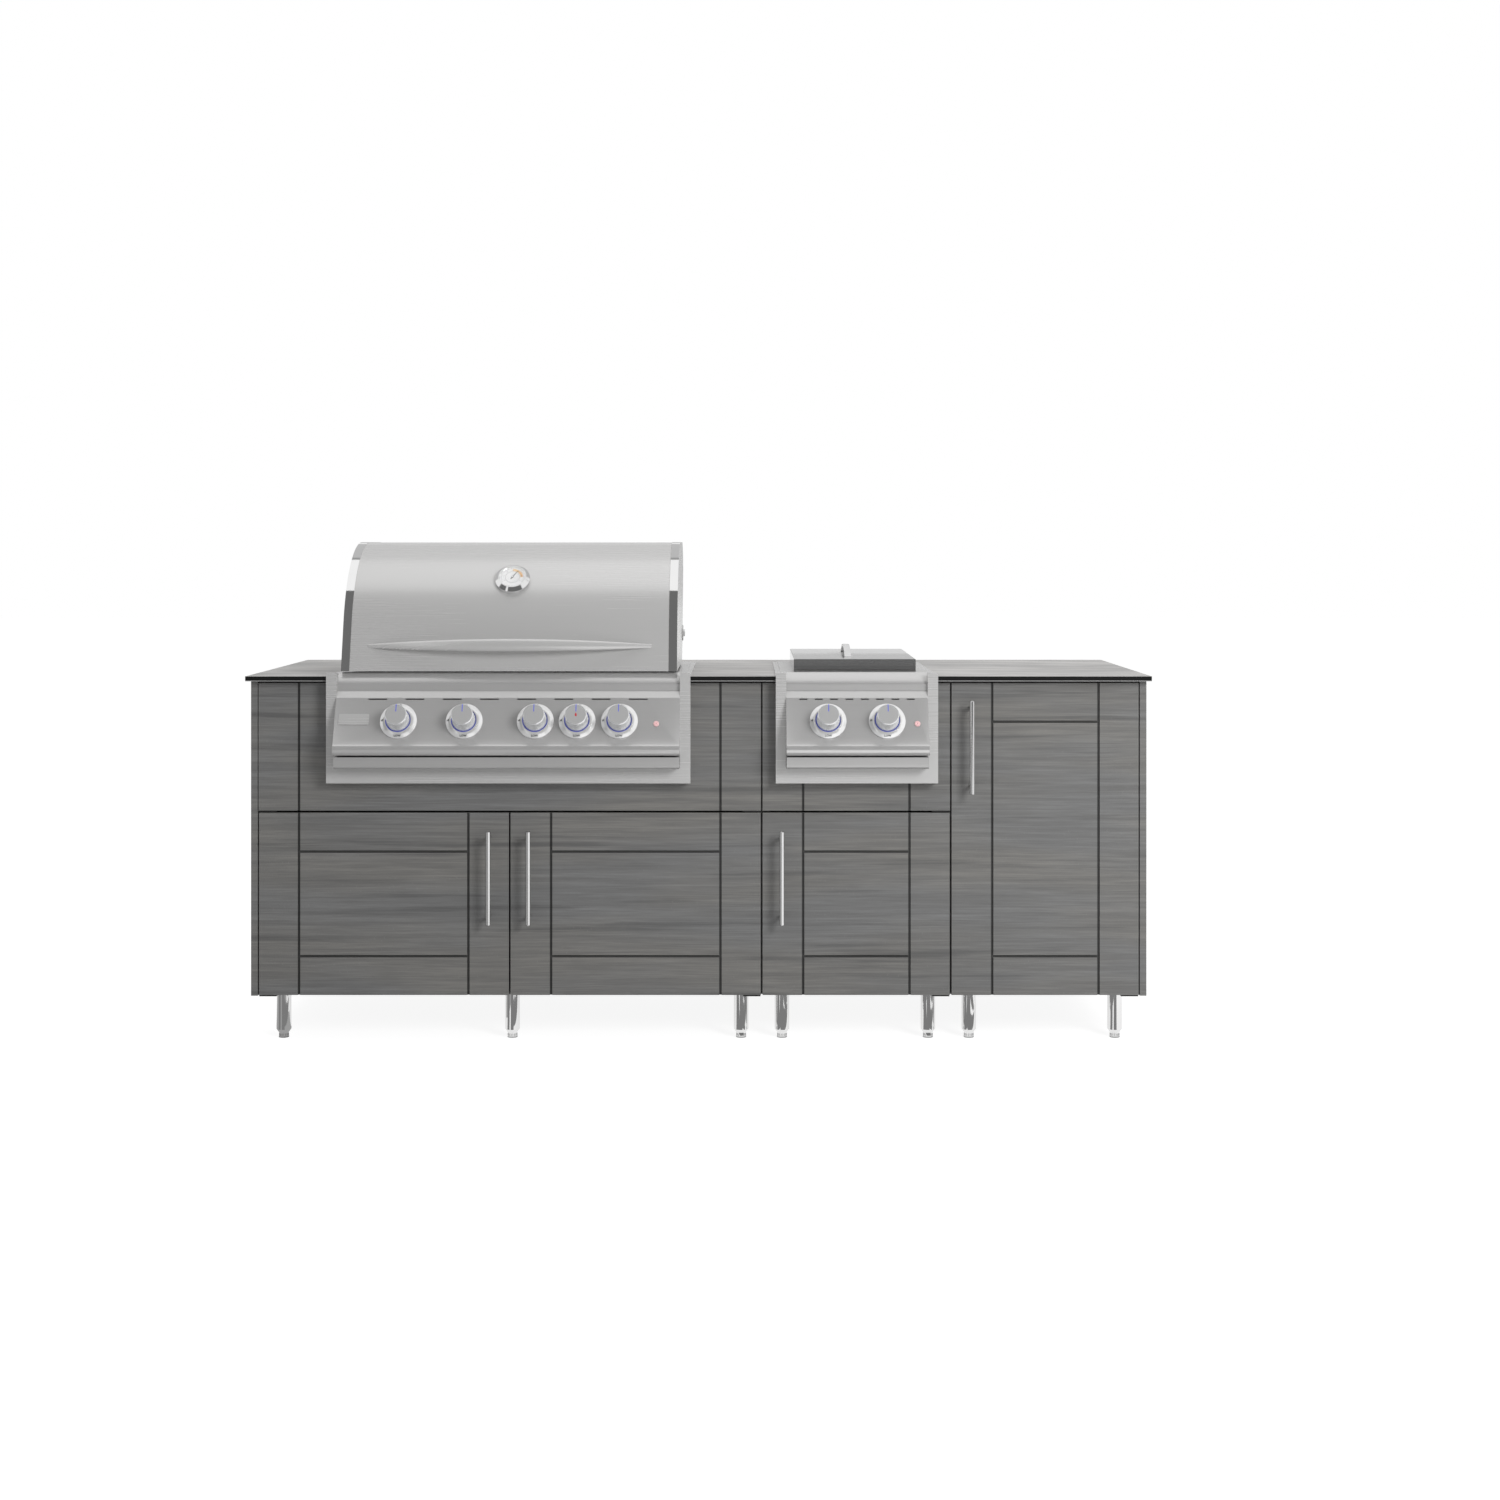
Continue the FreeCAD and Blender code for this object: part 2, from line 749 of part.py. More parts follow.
def drip_tray(centre, width):
    """A pan on side flanges, behind a hollow front with a rounded lower edge."""
    front_half = width / 2 - tray_front_clearance
    pan_half = width / 2 - tray_side_inset
    front_y = nose_front_y + tray_front_setback
    front_back = trim_front_y - fit_gap * 2
    top = tray_top()
    bottom = top - tray_front_height
    front = box(centre - front_half, centre + front_half, front_y, front_back, bottom, top)
    low_edges = [e for e in front.Edges if all(abs(v.Y - front_y) < same_place and
                                               abs(v.Z - bottom) < same_place for v in e.Vertexes)]
    front = front.makeFillet(tray_edge_radius, low_edges)
    inside = box(centre - front_half + tray_wall, centre + front_half - tray_wall, front_y + tray_edge_radius,
                 front_back, bottom + tray_wall, top - tray_wall)
    front = front.cut(inside)
    flange_z = tray_flange_z()
    pan_bottom = flange_z + tray_wall - tray_depth
    outer_pan = box(centre - pan_half, centre + pan_half, front_y + tray_edge_radius, tray_back_y,
                    pan_bottom, flange_z + tray_wall)
    hollow = box(centre - pan_half + tray_wall, centre + pan_half - tray_wall,
                 front_y + tray_edge_radius + tray_wall, tray_back_y - tray_wall,
                 pan_bottom + tray_wall, flange_z + tray_wall)
    flanges = [box(*sorted((centre + s * pan_half, centre + s * (pan_half + tray_flange + rail_overlap))),
                   rail_front_y, tray_back_y, flange_z, flange_z + tray_wall) for s in (-1, 1)]
    return join([front, outer_pan.cut(hollow)] + flanges)


# Knobs, plungers, bezels and buttons

def bezel(x):
    """A domed ring with a dished floor that the plunger passes through."""
    inner = knob_radius + knob_bezel_gap
    bore = plunger_radius + plunger_hole_gap
    profile = [(bore, 0), (bezel_radius, 0), (bezel_radius, bezel_rim_height),
               (inner + bezel_lip, bezel_height), (inner, bezel_height), (inner, sheet), (bore, sheet)]
    return turned(profile, on_face(x, knob_down_face), face_axis())


def knob(x):
    """A slightly tapered knob with a groove under its cap and a blind hub bore."""
    bore = plunger_radius + plunger_running_gap
    cap_z = knob_length - knob_cap_height
    profile = [
        (bore, 0), (knob_radius, 0), (knob_radius, knob_skirt_height),
        (knob_cap_radius - knob_groove_depth, cap_z - knob_groove_width),
        (knob_cap_radius - knob_groove_depth, cap_z), (knob_cap_radius, cap_z),
        (knob_cap_radius, knob_length - knob_edge), (knob_cap_radius - knob_edge, knob_length),
        (0, knob_length), (0, plunger_grip + fit_gap), (bore, plunger_grip + fit_gap),
    ]
    return turned(profile, on_face(x, knob_down_face, knob_lift), face_axis())


def plunger(x):
    start = on_face(x, knob_down_face, -plunger_depth)
    end = on_face(x, knob_down_face, knob_lift + plunger_grip)
    return rod(start, end, plunger_radius)


def light_button(x):
    under = -sheet - fit_gap
    core = button_radius - button_edge
    profile = [
        (0, button_rise), (core, button_rise), (button_radius, button_rise - button_edge),
        (button_radius, under), (button_radius + button_flange, under),
        (button_radius + button_flange, under - button_flange_thickness),
        (core, under - button_flange_thickness), (core, under - button_depth), (0, under - button_depth),
    ]
    return turned(profile, on_face(x, button_down_face), face_axis())


def valve_body(x):
    bore_depth = plunger_depth + plunger_travel + fit_gap
    start = on_face(x, knob_down_face, -valve_stand_back)
    end = on_face(x, knob_down_face, -valve_stand_back - valve_length)
    bore = rod(start, on_face(x, knob_down_face, -bore_depth), plunger_radius + plunger_running_gap)
    return rod(start, end, valve_radius).cut(bore)


def manifold_point(x):
    return on_face(x, knob_down_face, -valve_stand_back - valve_length - manifold_radius + valve_socket)


def supply_x(centre, width):
    return centre - width / 2 + supply_inset


def union_nut(x):
    """A hexagon on the supply pipe, above the thread that the hose fitting takes."""
    z0 = supply_end_z + supply_thread_length
    corner = V(union_across / math.sqrt(3), 0, 0)
    centre = V(x, supply_drop_y, z0)
    turns = [FreeCAD.Rotation(V(0, 0, 1), 60 * i) for i in range(7)]
    outline = Part.makePolygon([centre.add(turn.multVec(corner)) for turn in turns])
    return Part.Face(outline).extrude(V(0, 0, union_height))


def gas_manifold(centre, width, knob_offsets, burner_inlets):
    """Pipe, valve bodies, tubes to the burners and the supply pipe that ends inside the cabinet."""
    left = supply_x(centre, width)
    axis = manifold_point(left)
    right = manifold_point(centre + max(knob_offsets) + valve_radius)
    pieces = [rod(axis.sub(V(manifold_radius, 0, 0)), right, manifold_radius)]
    pieces += [valve_body(centre + offset) for offset in knob_offsets]
    for offset, inlet in zip(knob_offsets, burner_inlets):
        bend = inlet.sub(V(0, venturi_straight, 0))
        pieces.append(rod(manifold_point(centre + offset), bend, venturi_radius))
        pieces.append(Part.makeSphere(venturi_radius, bend))
        pieces.append(rod(bend, inlet, venturi_radius))
    corner = V(left, supply_drop_y, axis.z)
    pieces.append(rod(axis, corner, supply_radius))
    pieces.append(Part.makeSphere(supply_radius, corner))
    pieces.append(rod(corner, V(left, supply_drop_y, supply_end_z), supply_radius))
    pieces.append(union_nut(left))
    return pieces


def feed_pipe_y():
    return firebox_back_y + feed_radius + feed_back_gap


def grill_manifold():
    inlets = [V(x, burner_tube_front_y, burner_tube_z) for x in burner_tube_xs()]
    pieces = gas_manifold(grill_x, grill_unit_width, grill_knob_offsets, inlets)
    feed_x = grill_x + grill_unit_width / 2 - supply_inset
    low = manifold_point(feed_x)
    feed_y = feed_pipe_y()
    feed_z = rear_burner_z + rear_burner_height / 2
    corners = [manifold_point(grill_x + max(grill_knob_offsets)), low, V(feed_x, feed_y, low.z),
               V(grill_x, feed_y, low.z), V(grill_x, feed_y, feed_z), V(grill_x, firebox_back_y, feed_z)]
    for a, b in zip(corners, corners[1:]):
        pieces.append(rod(a, b, feed_radius))
    pieces += [Part.makeSphere(feed_radius, c) for c in corners[1:-1]]
    return join(pieces)


def burner_manifold():
    inlets = [V(burner_x + offset, burner_pan_front_y, burner_feed_z()) for offset in burner_knob_offsets]
    pieces = gas_manifold(burner_x, burner_unit_width, burner_knob_offsets, inlets)
    for offset, head_y in zip(burner_knob_offsets, burner_head_ys):
        inlet = V(burner_x + offset, burner_pan_front_y, burner_feed_z())
        turn = V(burner_x + offset, head_y, burner_feed_z())
        under = V(burner_x, head_y, burner_feed_z())
        top = V(burner_x, head_y, burner_pan_floor_z - sheet)
        for a, b in ((inlet, turn), (turn, under), (under, top)):
            pieces.append(rod(a, b, venturi_radius))
        pieces += [Part.makeSphere(venturi_radius, c) for c in (inlet, turn, under)]
    return join(pieces)


def burner_feed_z():
    return burner_pan_floor_z - sheet - 2 * venturi_radius


# Firebox and what it carries

def ear_outer():
    return hood_width / 2 - hood_sheet - ear_clearance


def firebox():
    half = firebox_width / 2
    inner = half - sheet
    inner_front = firebox_front_y + sheet
    inner_back = firebox_back_y - sheet
    walls = box(grill_x - half, grill_x + half, firebox_front_y, firebox_back_y, firebox_floor_z, firebox_top)
    walls = walls.cut(box(grill_x - inner, grill_x + inner, inner_front, inner_back,
                          firebox_floor_z + sheet, firebox_top))
    mid_y = (firebox_front_y + firebox_back_y) / 2
    drain = box(grill_x - drain_width / 2, grill_x + drain_width / 2, mid_y - drain_depth / 2,
                mid_y + drain_depth / 2, firebox_floor_z, firebox_floor_z + sheet)
    holes = [rod(V(x, firebox_front_y, burner_tube_z), V(x, inner_front, burner_tube_z), burner_tube_radius)
             for x in burner_tube_xs()]
    pieces = [walls.cut(group([drain] + holes))]
    rim_half = grill_unit_width / 2 + firebox_rim_inset
    rim = box(grill_x - rim_half, grill_x + rim_half, panel_back_y + rim_front_gap,
              jacket_back_y + rim_overlap - rim_back_inset, rim_top, firebox_top)
    pieces.append(rim.cut(box(grill_x - half, grill_x + half, firebox_front_y, firebox_back_y,
                              rim_top, firebox_top)))
    for z in (grate_ledge_z, tamer_ledge_z):
        for y0 in (inner_front, inner_back - ledge_depth):
            pieces.append(box(grill_x - inner, grill_x + inner, y0, y0 + ledge_depth, z - sheet, z))
    tube_rest = burner_tube_z - burner_tube_radius
    pieces.append(box(grill_x - inner, grill_x + inner, inner_back - burner_bracket_depth, inner_back,
                      tube_rest - sheet, tube_rest))
    ear = ear_outer()
    pieces.append(box(grill_x - ear, grill_x + ear, inner_back, firebox_back_y, firebox_top, back_wall_top_z))
    profile = [(firebox_back_y, firebox_top), (firebox_back_y, back_wall_top_z),
               (pivot_y - pivot_boss_radius, back_wall_top_z), (ear_front_y, firebox_top)]
    for s in (-1, 1):
        x = sorted((grill_x + s * ear, grill_x + s * (ear - sheet)))
        pieces.append(side_polygon(profile, x[0], x[1]))
    solid = join(pieces)
    bores = []
    for start in (grill_x - ear, grill_x + ear - sheet):
        bores.append(rod(V(start, pivot_y, pivot_z), V(start + sheet, pivot_y, pivot_z), pivot_pin_radius))
    feed_z = rear_burner_z + rear_burner_height / 2
    bores.append(rod(V(grill_x, inner_back, feed_z), V(grill_x, firebox_back_y, feed_z), feed_radius))
    bores.append(rod(V(grill_x, feed_pipe_y(), rim_top), V(grill_x, feed_pipe_y(), firebox_top), feed_radius))
    return solid.cut(group(bores))


def pivot_pins():
    """A headed pin on each side, fixed in the firebox ear, that the hood turns on."""
    ear = ear_outer()
    hood_half = hood_width / 2
    cap_start = hood_half + pivot_boss + fit_gap
    pins = []
    for s in (-1, 1):
        profile = [
            (0, ear - sheet - pivot_head), (pivot_head_radius, ear - sheet - pivot_head),
            (pivot_head_radius, ear - sheet), (pivot_pin_radius, ear - sheet), (pivot_pin_radius, ear),
            (pivot_head_radius, ear), (pivot_head_radius, hood_half - hood_sheet - fit_gap),
            (pivot_pin_radius, hood_half - hood_sheet - fit_gap), (pivot_pin_radius, cap_start),
            (pivot_head_radius, cap_start), (pivot_head_radius, cap_start + pivot_head),
            (0, cap_start + pivot_head),
        ]
        pins.append(turned(profile, V(grill_x, pivot_y, pivot_z), V(s, 0, 0)))
    return group(pins)


def burner_tube_xs():
    return [grill_x + (i - (burner_tube_count - 1) / 2) * burner_tube_pitch for i in range(burner_tube_count)]


def grill_burners():
    tubes = [rod(V(x, burner_tube_front_y, burner_tube_z), V(x, burner_tube_back_y, burner_tube_z),
                 burner_tube_radius) for x in burner_tube_xs()]
    inner_back = firebox_back_y - sheet
    rear_front = inner_back - rear_burner_depth
    rear_half = rear_burner_width / 2
    rear = box(grill_x - rear_half, grill_x + rear_half, rear_front, inner_back,
               rear_burner_z, rear_burner_z + rear_burner_height)
    recess_half = rear_half - rear_burner_frame
    recess = box(grill_x - recess_half, grill_x + recess_half, rear_front, rear_front + rear_burner_recess,
                 rear_burner_z + rear_burner_frame, rear_burner_z + rear_burner_height - rear_burner_frame)
    return group(tubes + [rear.cut(recess)])


def flame_tamers():
    """An inverted V of sheet over each burner tube, resting on the lower ledges."""
    y0 = firebox_front_y + sheet + tamer_end_gap
    y1 = firebox_back_y - sheet - tamer_end_gap
    low = tamer_ledge_z
    slope = math.hypot(tamer_half_width, tamer_peak)
    inner_peak = tamer_peak - tamer_sheet * slope / tamer_half_width
    inner_half = tamer_half_width - tamer_sheet * slope / tamer_peak
    tamers = []
    for x in burner_tube_xs():
        profile = [(x - tamer_half_width, low), (x, low + tamer_peak), (x + tamer_half_width, low),
                   (x + inner_half, low), (x, low + inner_peak), (x - inner_half, low)]
        tamers.append(front_polygon(profile, y0, y1))
    return group(tamers)


def cooking_grates():
    """Grates side by side on the upper ledges: rods from front to back, welded on three cross bars."""
    inner = firebox_width - 2 * sheet
    pitch = inner / grate_count
    y0 = firebox_front_y + sheet + fit_gap * 2
    y1 = firebox_back_y - sheet - fit_gap * 2
    pieces = []
    for i in range(grate_count):
        x0 = grill_x - inner / 2 + i * pitch + grate_gap / 2
        x1 = x0 + pitch - grate_gap
        rod_bottom = grate_ledge_z + grate_bar_height
        for y in (y0, (y0 + y1 - grate_bar) / 2, y1 - grate_bar):
            pieces.append(box(x0, x1, y, y + grate_bar, grate_ledge_z, rod_bottom))
        for k in range(grate_rods):
            x = x0 + k * (x1 - x0 - grate_rod_width) / (grate_rods - 1)
            pieces.append(box(x, x + grate_rod_width, y0, y1, rod_bottom, rod_bottom + grate_rod_width))
    return group(pieces)


def warming_rack():
    """A shelf of rods welded between a front and a back bar."""
    half = ear_outer() - rack_side_gap
    y1 = firebox_back_y
    z0 = back_wall_top_z
    bars = [box(grill_x - half, grill_x + half, y, y + rack_bar, z0, z0 + rack_bar)
            for y in (rack_front_y, y1 - rack_bar)]
    for i in range(rack_rods):
        x = grill_x - half + i * (2 * half - rack_bar) / (rack_rods - 1)
        bars.append(box(x, x + rack_bar, rack_front_y + rack_bar, y1 - rack_bar, z0, z0 + rack_bar))
    return group(bars)


# Hood

def hood_places(inset):
    """Corner points and arc middles of the hood's front, top and back, moved inwards by inset."""
    length = math.hypot(hood_lean_y, hood_lean_z)
    inward = (hood_lean_z / length, -hood_lean_y / length)
    bend_y = hood_front_y + hood_lean_y
    bend_z = hood_bottom_z + hood_lean_z
    centre_y = bend_y + hood_arc_radius * inward[0]
    centre_z = bend_z + hood_arc_radius * inward[1]
    radius = hood_arc_radius - inset
    start_y = bend_y + inset * inward[0]
    start_z = bend_z + inset * inward[1]
    foot_y = start_y - (start_z - hood_bottom_z) * hood_lean_y / hood_lean_z
    turn = math.acos(hood_lean_y / length)
    middle = math.pi / 2 + turn / 2
    back_radius = hood_back_radius - inset
    back_centre_z = centre_z + hood_arc_radius - hood_back_radius
    back_y = centre_y + hood_top_run
    diagonal = math.sqrt(0.5) * back_radius
    return {
        "foot": (foot_y, hood_bottom_z),
        "bend": (start_y, start_z),
        "arc": (centre_y + radius * math.cos(middle), centre_z + radius * math.sin(middle)),
        "crown": (centre_y, centre_z + radius),
        "rear_crown": (back_y, centre_z + radius),
        "rear_arc": (back_y + diagonal, back_centre_z + diagonal),
        "rear": (back_y + back_radius, back_centre_z),
        "centre": (centre_y, centre_z),
    }


def hood_edges(inset):
    p = {name: side_point(*place) for name, place in hood_places(inset).items()}
    return [
        line(p["foot"], p["bend"]),
        arc(p["bend"], p["arc"], p["crown"]),
        line(p["crown"], p["rear_crown"]),
        arc(p["rear_crown"], p["rear_arc"], p["rear"]),
    ]


def hood_section(inset):
    """Closed section: front, top and back down to the tail and heel by the pivot."""
    places = hood_places(inset)
    rear = side_point(*places["rear"])
    tail = side_point(hood_tail_y - inset, hood_tail_z)
    heel = side_point(hood_heel_y - inset, hood_bottom_z)
    edges = hood_edges(inset) + [line(rear, tail), line(tail, heel), line(heel, side_point(*places["foot"]))]
    return face_from_edges(edges)


def hood_strip(outer_inset, inner_inset, x0, x1, end_z):
    """The curved strip between two insets, from the front foot over the top to end_z at the back."""
    outer = hood_section(outer_inset).extrude(V(x1 - x0, 0, 0))
    inner = hood_section(inner_inset).extrude(V(x1 - x0, 0, 0))
    mid_y = hood_places(0)["centre"][0]
    strip = outer.cut(inner)
    far = hood_places(0)["rear"][0] + hood_back_radius
    above = hood_bottom_z + hood_arc_radius * 2
    keep_front = box(0, x1 - x0, hood_front_y - hood_back_radius, mid_y, hood_bottom_z, above)
    keep_back = box(0, x1 - x0, mid_y, far, end_z, above)
    strip = strip.common(join([keep_front, keep_back]))
    strip.translate(V(x0, 0, 0))
    return strip


def hood_shell():
    half = hood_width / 2
    skin = hood_strip(0, hood_sheet, grill_x - half, grill_x + half, hood_skin_end_z)
    sides = []
    for s in (-1, 1):
        plate = hood_section(0).extrude(V(hood_sheet, 0, 0))
        plate.translate(V(grill_x + s * half - (hood_sheet if s > 0 else 0), 0, 0))
        inner = V(grill_x + s * (half - hood_sheet), pivot_y, pivot_z)
        face = V(grill_x + s * half, pivot_y, pivot_z)
        boss_end = V(grill_x + s * (half + pivot_boss), pivot_y, pivot_z)
        boss = rod(face, boss_end, pivot_boss_radius)
        bore = rod(inner, boss_end, pivot_pin_radius + pivot_pin_gap)
        sides.append(plate.fuse(boss).cut(bore))
    shell = join([skin] + sides)
    return shell.cut(gauge_bore())


def gauge_place():
    """Point on the curved front where the thermometer sits, and the direction it faces."""
    centre_y, centre_z = hood_places(0)["centre"]
    rise = gauge_z - centre_z
    back = math.sqrt(hood_arc_radius ** 2 - rise ** 2)
    point = V(grill_x, centre_y - back, gauge_z)
    normal = V(0, -back / hood_arc_radius, rise / hood_arc_radius)
    return point, normal


def gauge_bore():
    point, normal = gauge_place()
    inner_end = point.sub(normal * (liner_gap + 2 * hood_sheet))
    return rod(point.add(normal * hood_sheet), inner_end, gauge_stem_radius)


def hood_liner():
    """Inner skin, held off the shell and closed to it along the bottom of the front."""
    half = hood_width / 2 - hood_sheet
    outer_inset = liner_gap
    places = hood_places(outer_inset)
    end_z = places["rear"][1]
    liner = hood_strip(outer_inset, outer_inset + liner_sheet, grill_x - half, grill_x + half, end_z)
    foot_outer = hood_places(hood_sheet)["foot"][0]
    foot_inner = places["foot"][0]
    lean = liner_sheet * hood_lean_y / hood_lean_z
    return_lip = side_polygon([(foot_outer, hood_bottom_z), (foot_inner, hood_bottom_z),
                               (foot_inner + lean, hood_bottom_z + liner_sheet),
                               (foot_outer + lean, hood_bottom_z + liner_sheet)],
                              grill_x - half, grill_x + half)
    return join([liner, return_lip]).cut(gauge_bore())


def hood_trim():
    """A polished band over each end of the hood."""
    half = hood_width / 2
    bands = []
    for x0 in (grill_x - half, grill_x + half - trim_band_width):
        bands.append(hood_strip(-trim_band_proud, 0, x0, x0 + trim_band_width, hood_skin_end_z))
    return group(bands)


def hood_handle():
    """A bow whose ends run into the hood's sloping front; its section shrinks towards the ends."""
    bow_tilt = math.radians(bow_tilt_deg)
    out = V(0, -math.cos(bow_tilt), math.sin(bow_tilt))
    up = V(0, math.sin(bow_tilt), math.cos(bow_tilt))
    slope_length = math.hypot(hood_lean_y, hood_lean_z)
    hood_out = V(0, -hood_lean_z / slope_length, hood_lean_y / slope_length)
    hood_up = V(0, hood_lean_y / slope_length, hood_lean_z / slope_length)
    anchor = V(grill_x, hood_front_y + (bow_z - hood_bottom_z) * hood_lean_y / hood_lean_z, bow_z)
    half = bow_length / 2
    radius = (half ** 2 + bow_stand_off ** 2) / (2 * bow_stand_off)
    reach = math.asin(half / radius) * bow_end_reach
    sections = []
    for i in range(bow_sections):
        angle = -reach + 2 * reach * i / (bow_sections - 1)
        share = abs(angle) / reach
        scale = 1 - (1 - bow_end_scale) * share ** 2
        along = radius * math.sin(angle)
        away = radius * math.cos(angle) - radius + bow_stand_off
        centre = anchor.add(V(along, 0, 0)).add(out * away)
        tangent = V(math.cos(angle), 0, 0).sub(out * math.sin(angle))
        ellipse = Part.Ellipse(V(0, 0, 0), bow_height / 2 * scale, bow_thickness / 2 * scale)
        wire = Part.Wire([ellipse.toShape()])
        side = tangent.cross(up)
        wire.Placement = FreeCAD.Placement(centre, FreeCAD.Rotation(up, side.negative(), tangent, "ZXY"))
        sections.append(wire)
    bow = Part.makeLoft(sections, True, True)
    depth = bow_thickness * 4
    behind = Part.makeBox(bow_length * 2, bow_height * 2, depth)
    behind.Placement = FreeCAD.Placement(
        anchor.sub(V(bow_length, 0, 0)).sub(hood_up * bow_height).sub(hood_out * depth),
        FreeCAD.Rotation(V(1, 0, 0), hood_up, hood_out, "ZXY"))
    return bow.cut(behind)


def thermometer_case():
    """A turned ring with a recessed dial, and a stem that runs through the double skin."""
    point, normal = gauge_place()
    seat = hood_arc_radius - math.sqrt(hood_arc_radius ** 2 - gauge_radius ** 2)
    dial = gauge_height - gauge_recess
    profile = [
        (0, -gauge_stem_length), (gauge_stem_radius, -gauge_stem_length), (gauge_stem_radius, -seat),
        (gauge_radius, -seat), (gauge_radius, gauge_side_height),
        (gauge_dial_radius + gauge_bevel, gauge_height), (gauge_dial_radius, gauge_height),
        (gauge_dial_radius, dial), (gauge_pin_radius, dial),
        (gauge_pin_radius, gauge_height - gauge_pin_drop), (0, gauge_height - gauge_pin_drop),
    ]
    case = turned(profile, point, normal)
    half = gauge_radius + sheet
    inside = hood_section(0).extrude(V(half * 2, 0, 0))
    inside.translate(V(grill_x - half, 0, 0))
    stem = rod(point.sub(normal * gauge_stem_length), point, gauge_stem_radius)
    return case.cut(inside).fuse(stem).removeSplitter()


def thermometer_needle():
    """A pointer with a hub that turns on the dial's pin."""
    point, normal = gauge_place()
    z0 = gauge_height - gauge_recess + needle_lift
    hub = Part.makeCylinder(needle_hub_radius, needle_hub_thickness, V(0, 0, z0))
    half = needle_width / 2
    tip = needle_tip_width / 2
    corners = [V(-half, -needle_tail, z0), V(half, -needle_tail, z0), V(tip, needle_length, z0),
               V(-tip, needle_length, z0)]
    blade = Part.Face(Part.makePolygon(corners + [corners[0]])).extrude(V(0, 0, needle_thickness))
    bore_start = V(0, 0, z0 - needle_thickness)
    bore = Part.makeCylinder(gauge_pin_radius + gauge_pin_gap, needle_thickness * 3, bore_start)
    needle = hub.fuse(blade).removeSplitter().cut(bore)
    needle.rotate(V(0, 0, 0), V(0, 0, 1), needle_rest_deg)
    up = normal.cross(V(-1, 0, 0))
    needle.Placement = FreeCAD.Placement(point, FreeCAD.Rotation(V(1, 0, 0), up, normal, "ZXY")).multiply(
        needle.Placement)
    return needle


# Side burner

def burner_pan():
    """A pressed pan hung by its rim, with a raised collar under the lid."""
    half = burner_pan_width / 2
    walls = box(burner_x - half, burner_x + half, burner_pan_front_y, burner_pan_back_y,
                burner_pan_floor_z - sheet, firebox_top)
    walls = walls.cut(box(burner_x - half + sheet, burner_x + half - sheet, burner_pan_front_y + sheet,
                          burner_pan_back_y - sheet, burner_pan_floor_z, firebox_top))
    rim_half = burner_unit_width / 2 + firebox_rim_inset
    rim = box(burner_x - rim_half, burner_x + rim_half, panel_back_y + rim_front_gap,
              jacket_back_y + rim_overlap - rim_back_inset, rim_top, firebox_top)
    rim = rim.cut(box(burner_x - half, burner_x + half, burner_pan_front_y, burner_pan_back_y,
                      rim_top, firebox_top))
    holes = []
    for y in burner_head_ys:
        under = V(burner_x, y, burner_pan_floor_z - sheet)
        holes.append(rod(under, under.add(V(0, 0, sheet)), venturi_radius))
    return join([walls, rim]).cut(group(holes))


def burner_heads():
    heads = []
    for y in burner_head_ys:
        profile = [
            (0, -sheet), (venturi_radius, -sheet), (venturi_radius, 0), (burner_head_radius, 0),
            (burner_head_radius, burner_head_foot),
            (burner_cap_radius, burner_head_height - burner_cap_height),
            (burner_cap_radius + burner_cap_overhang, burner_head_height - burner_cap_height),
            (burner_cap_radius + burner_cap_overhang, burner_head_height - burner_cap_edge),
            (burner_cap_radius, burner_head_height),
            (0, burner_head_height),
        ]
        heads.append(turned(profile, V(burner_x, y, burner_pan_floor_z), V(0, 0, 1)))
    return group(heads)


def burner_grate():
    """Welded square bars on four feet over both heads, with an opening above each head."""
    half = burner_pan_width / 2 - sheet - burner_grate_inset
    y0 = burner_pan_front_y + sheet + burner_grate_inset
    y1 = burner_pan_back_y - sheet - burner_grate_inset
    z0 = burner_grate_z
    z1 = z0 + grate_bar
    bar = grate_bar
    cross_ys = (y0, (y0 + y1 - bar) / 2, y1 - bar)
    pieces = [box(burner_x - half, burner_x + half, y, y + bar, z0, z1) for y in cross_ys]
    for s in (-1, 1):
        side = sorted((burner_x + s * half, burner_x + s * (half - bar)))
        for front, back in zip(cross_ys, cross_ys[1:]):
            pieces.append(box(side[0], side[1], front + bar, back, z0, z1))
        for y in burner_head_ys:
            for k in range(burner_grate_bars):
                centre_y = y + (k - (burner_grate_bars - 1) / 2) * burner_head_radius
                finger = sorted((burner_x + s * burner_grate_opening, burner_x + s * (half - bar)))
                pieces.append(box(finger[0], finger[1], centre_y - bar / 2, centre_y + bar / 2, z0, z1))
        foot = sorted((burner_x + s * half, burner_x + s * (half - burner_foot)))
        for y in (y0, y1 - burner_foot):
            pieces.append(box(foot[0], foot[1], y, y + burner_foot, burner_pan_floor_z, z0))
    return group(pieces)


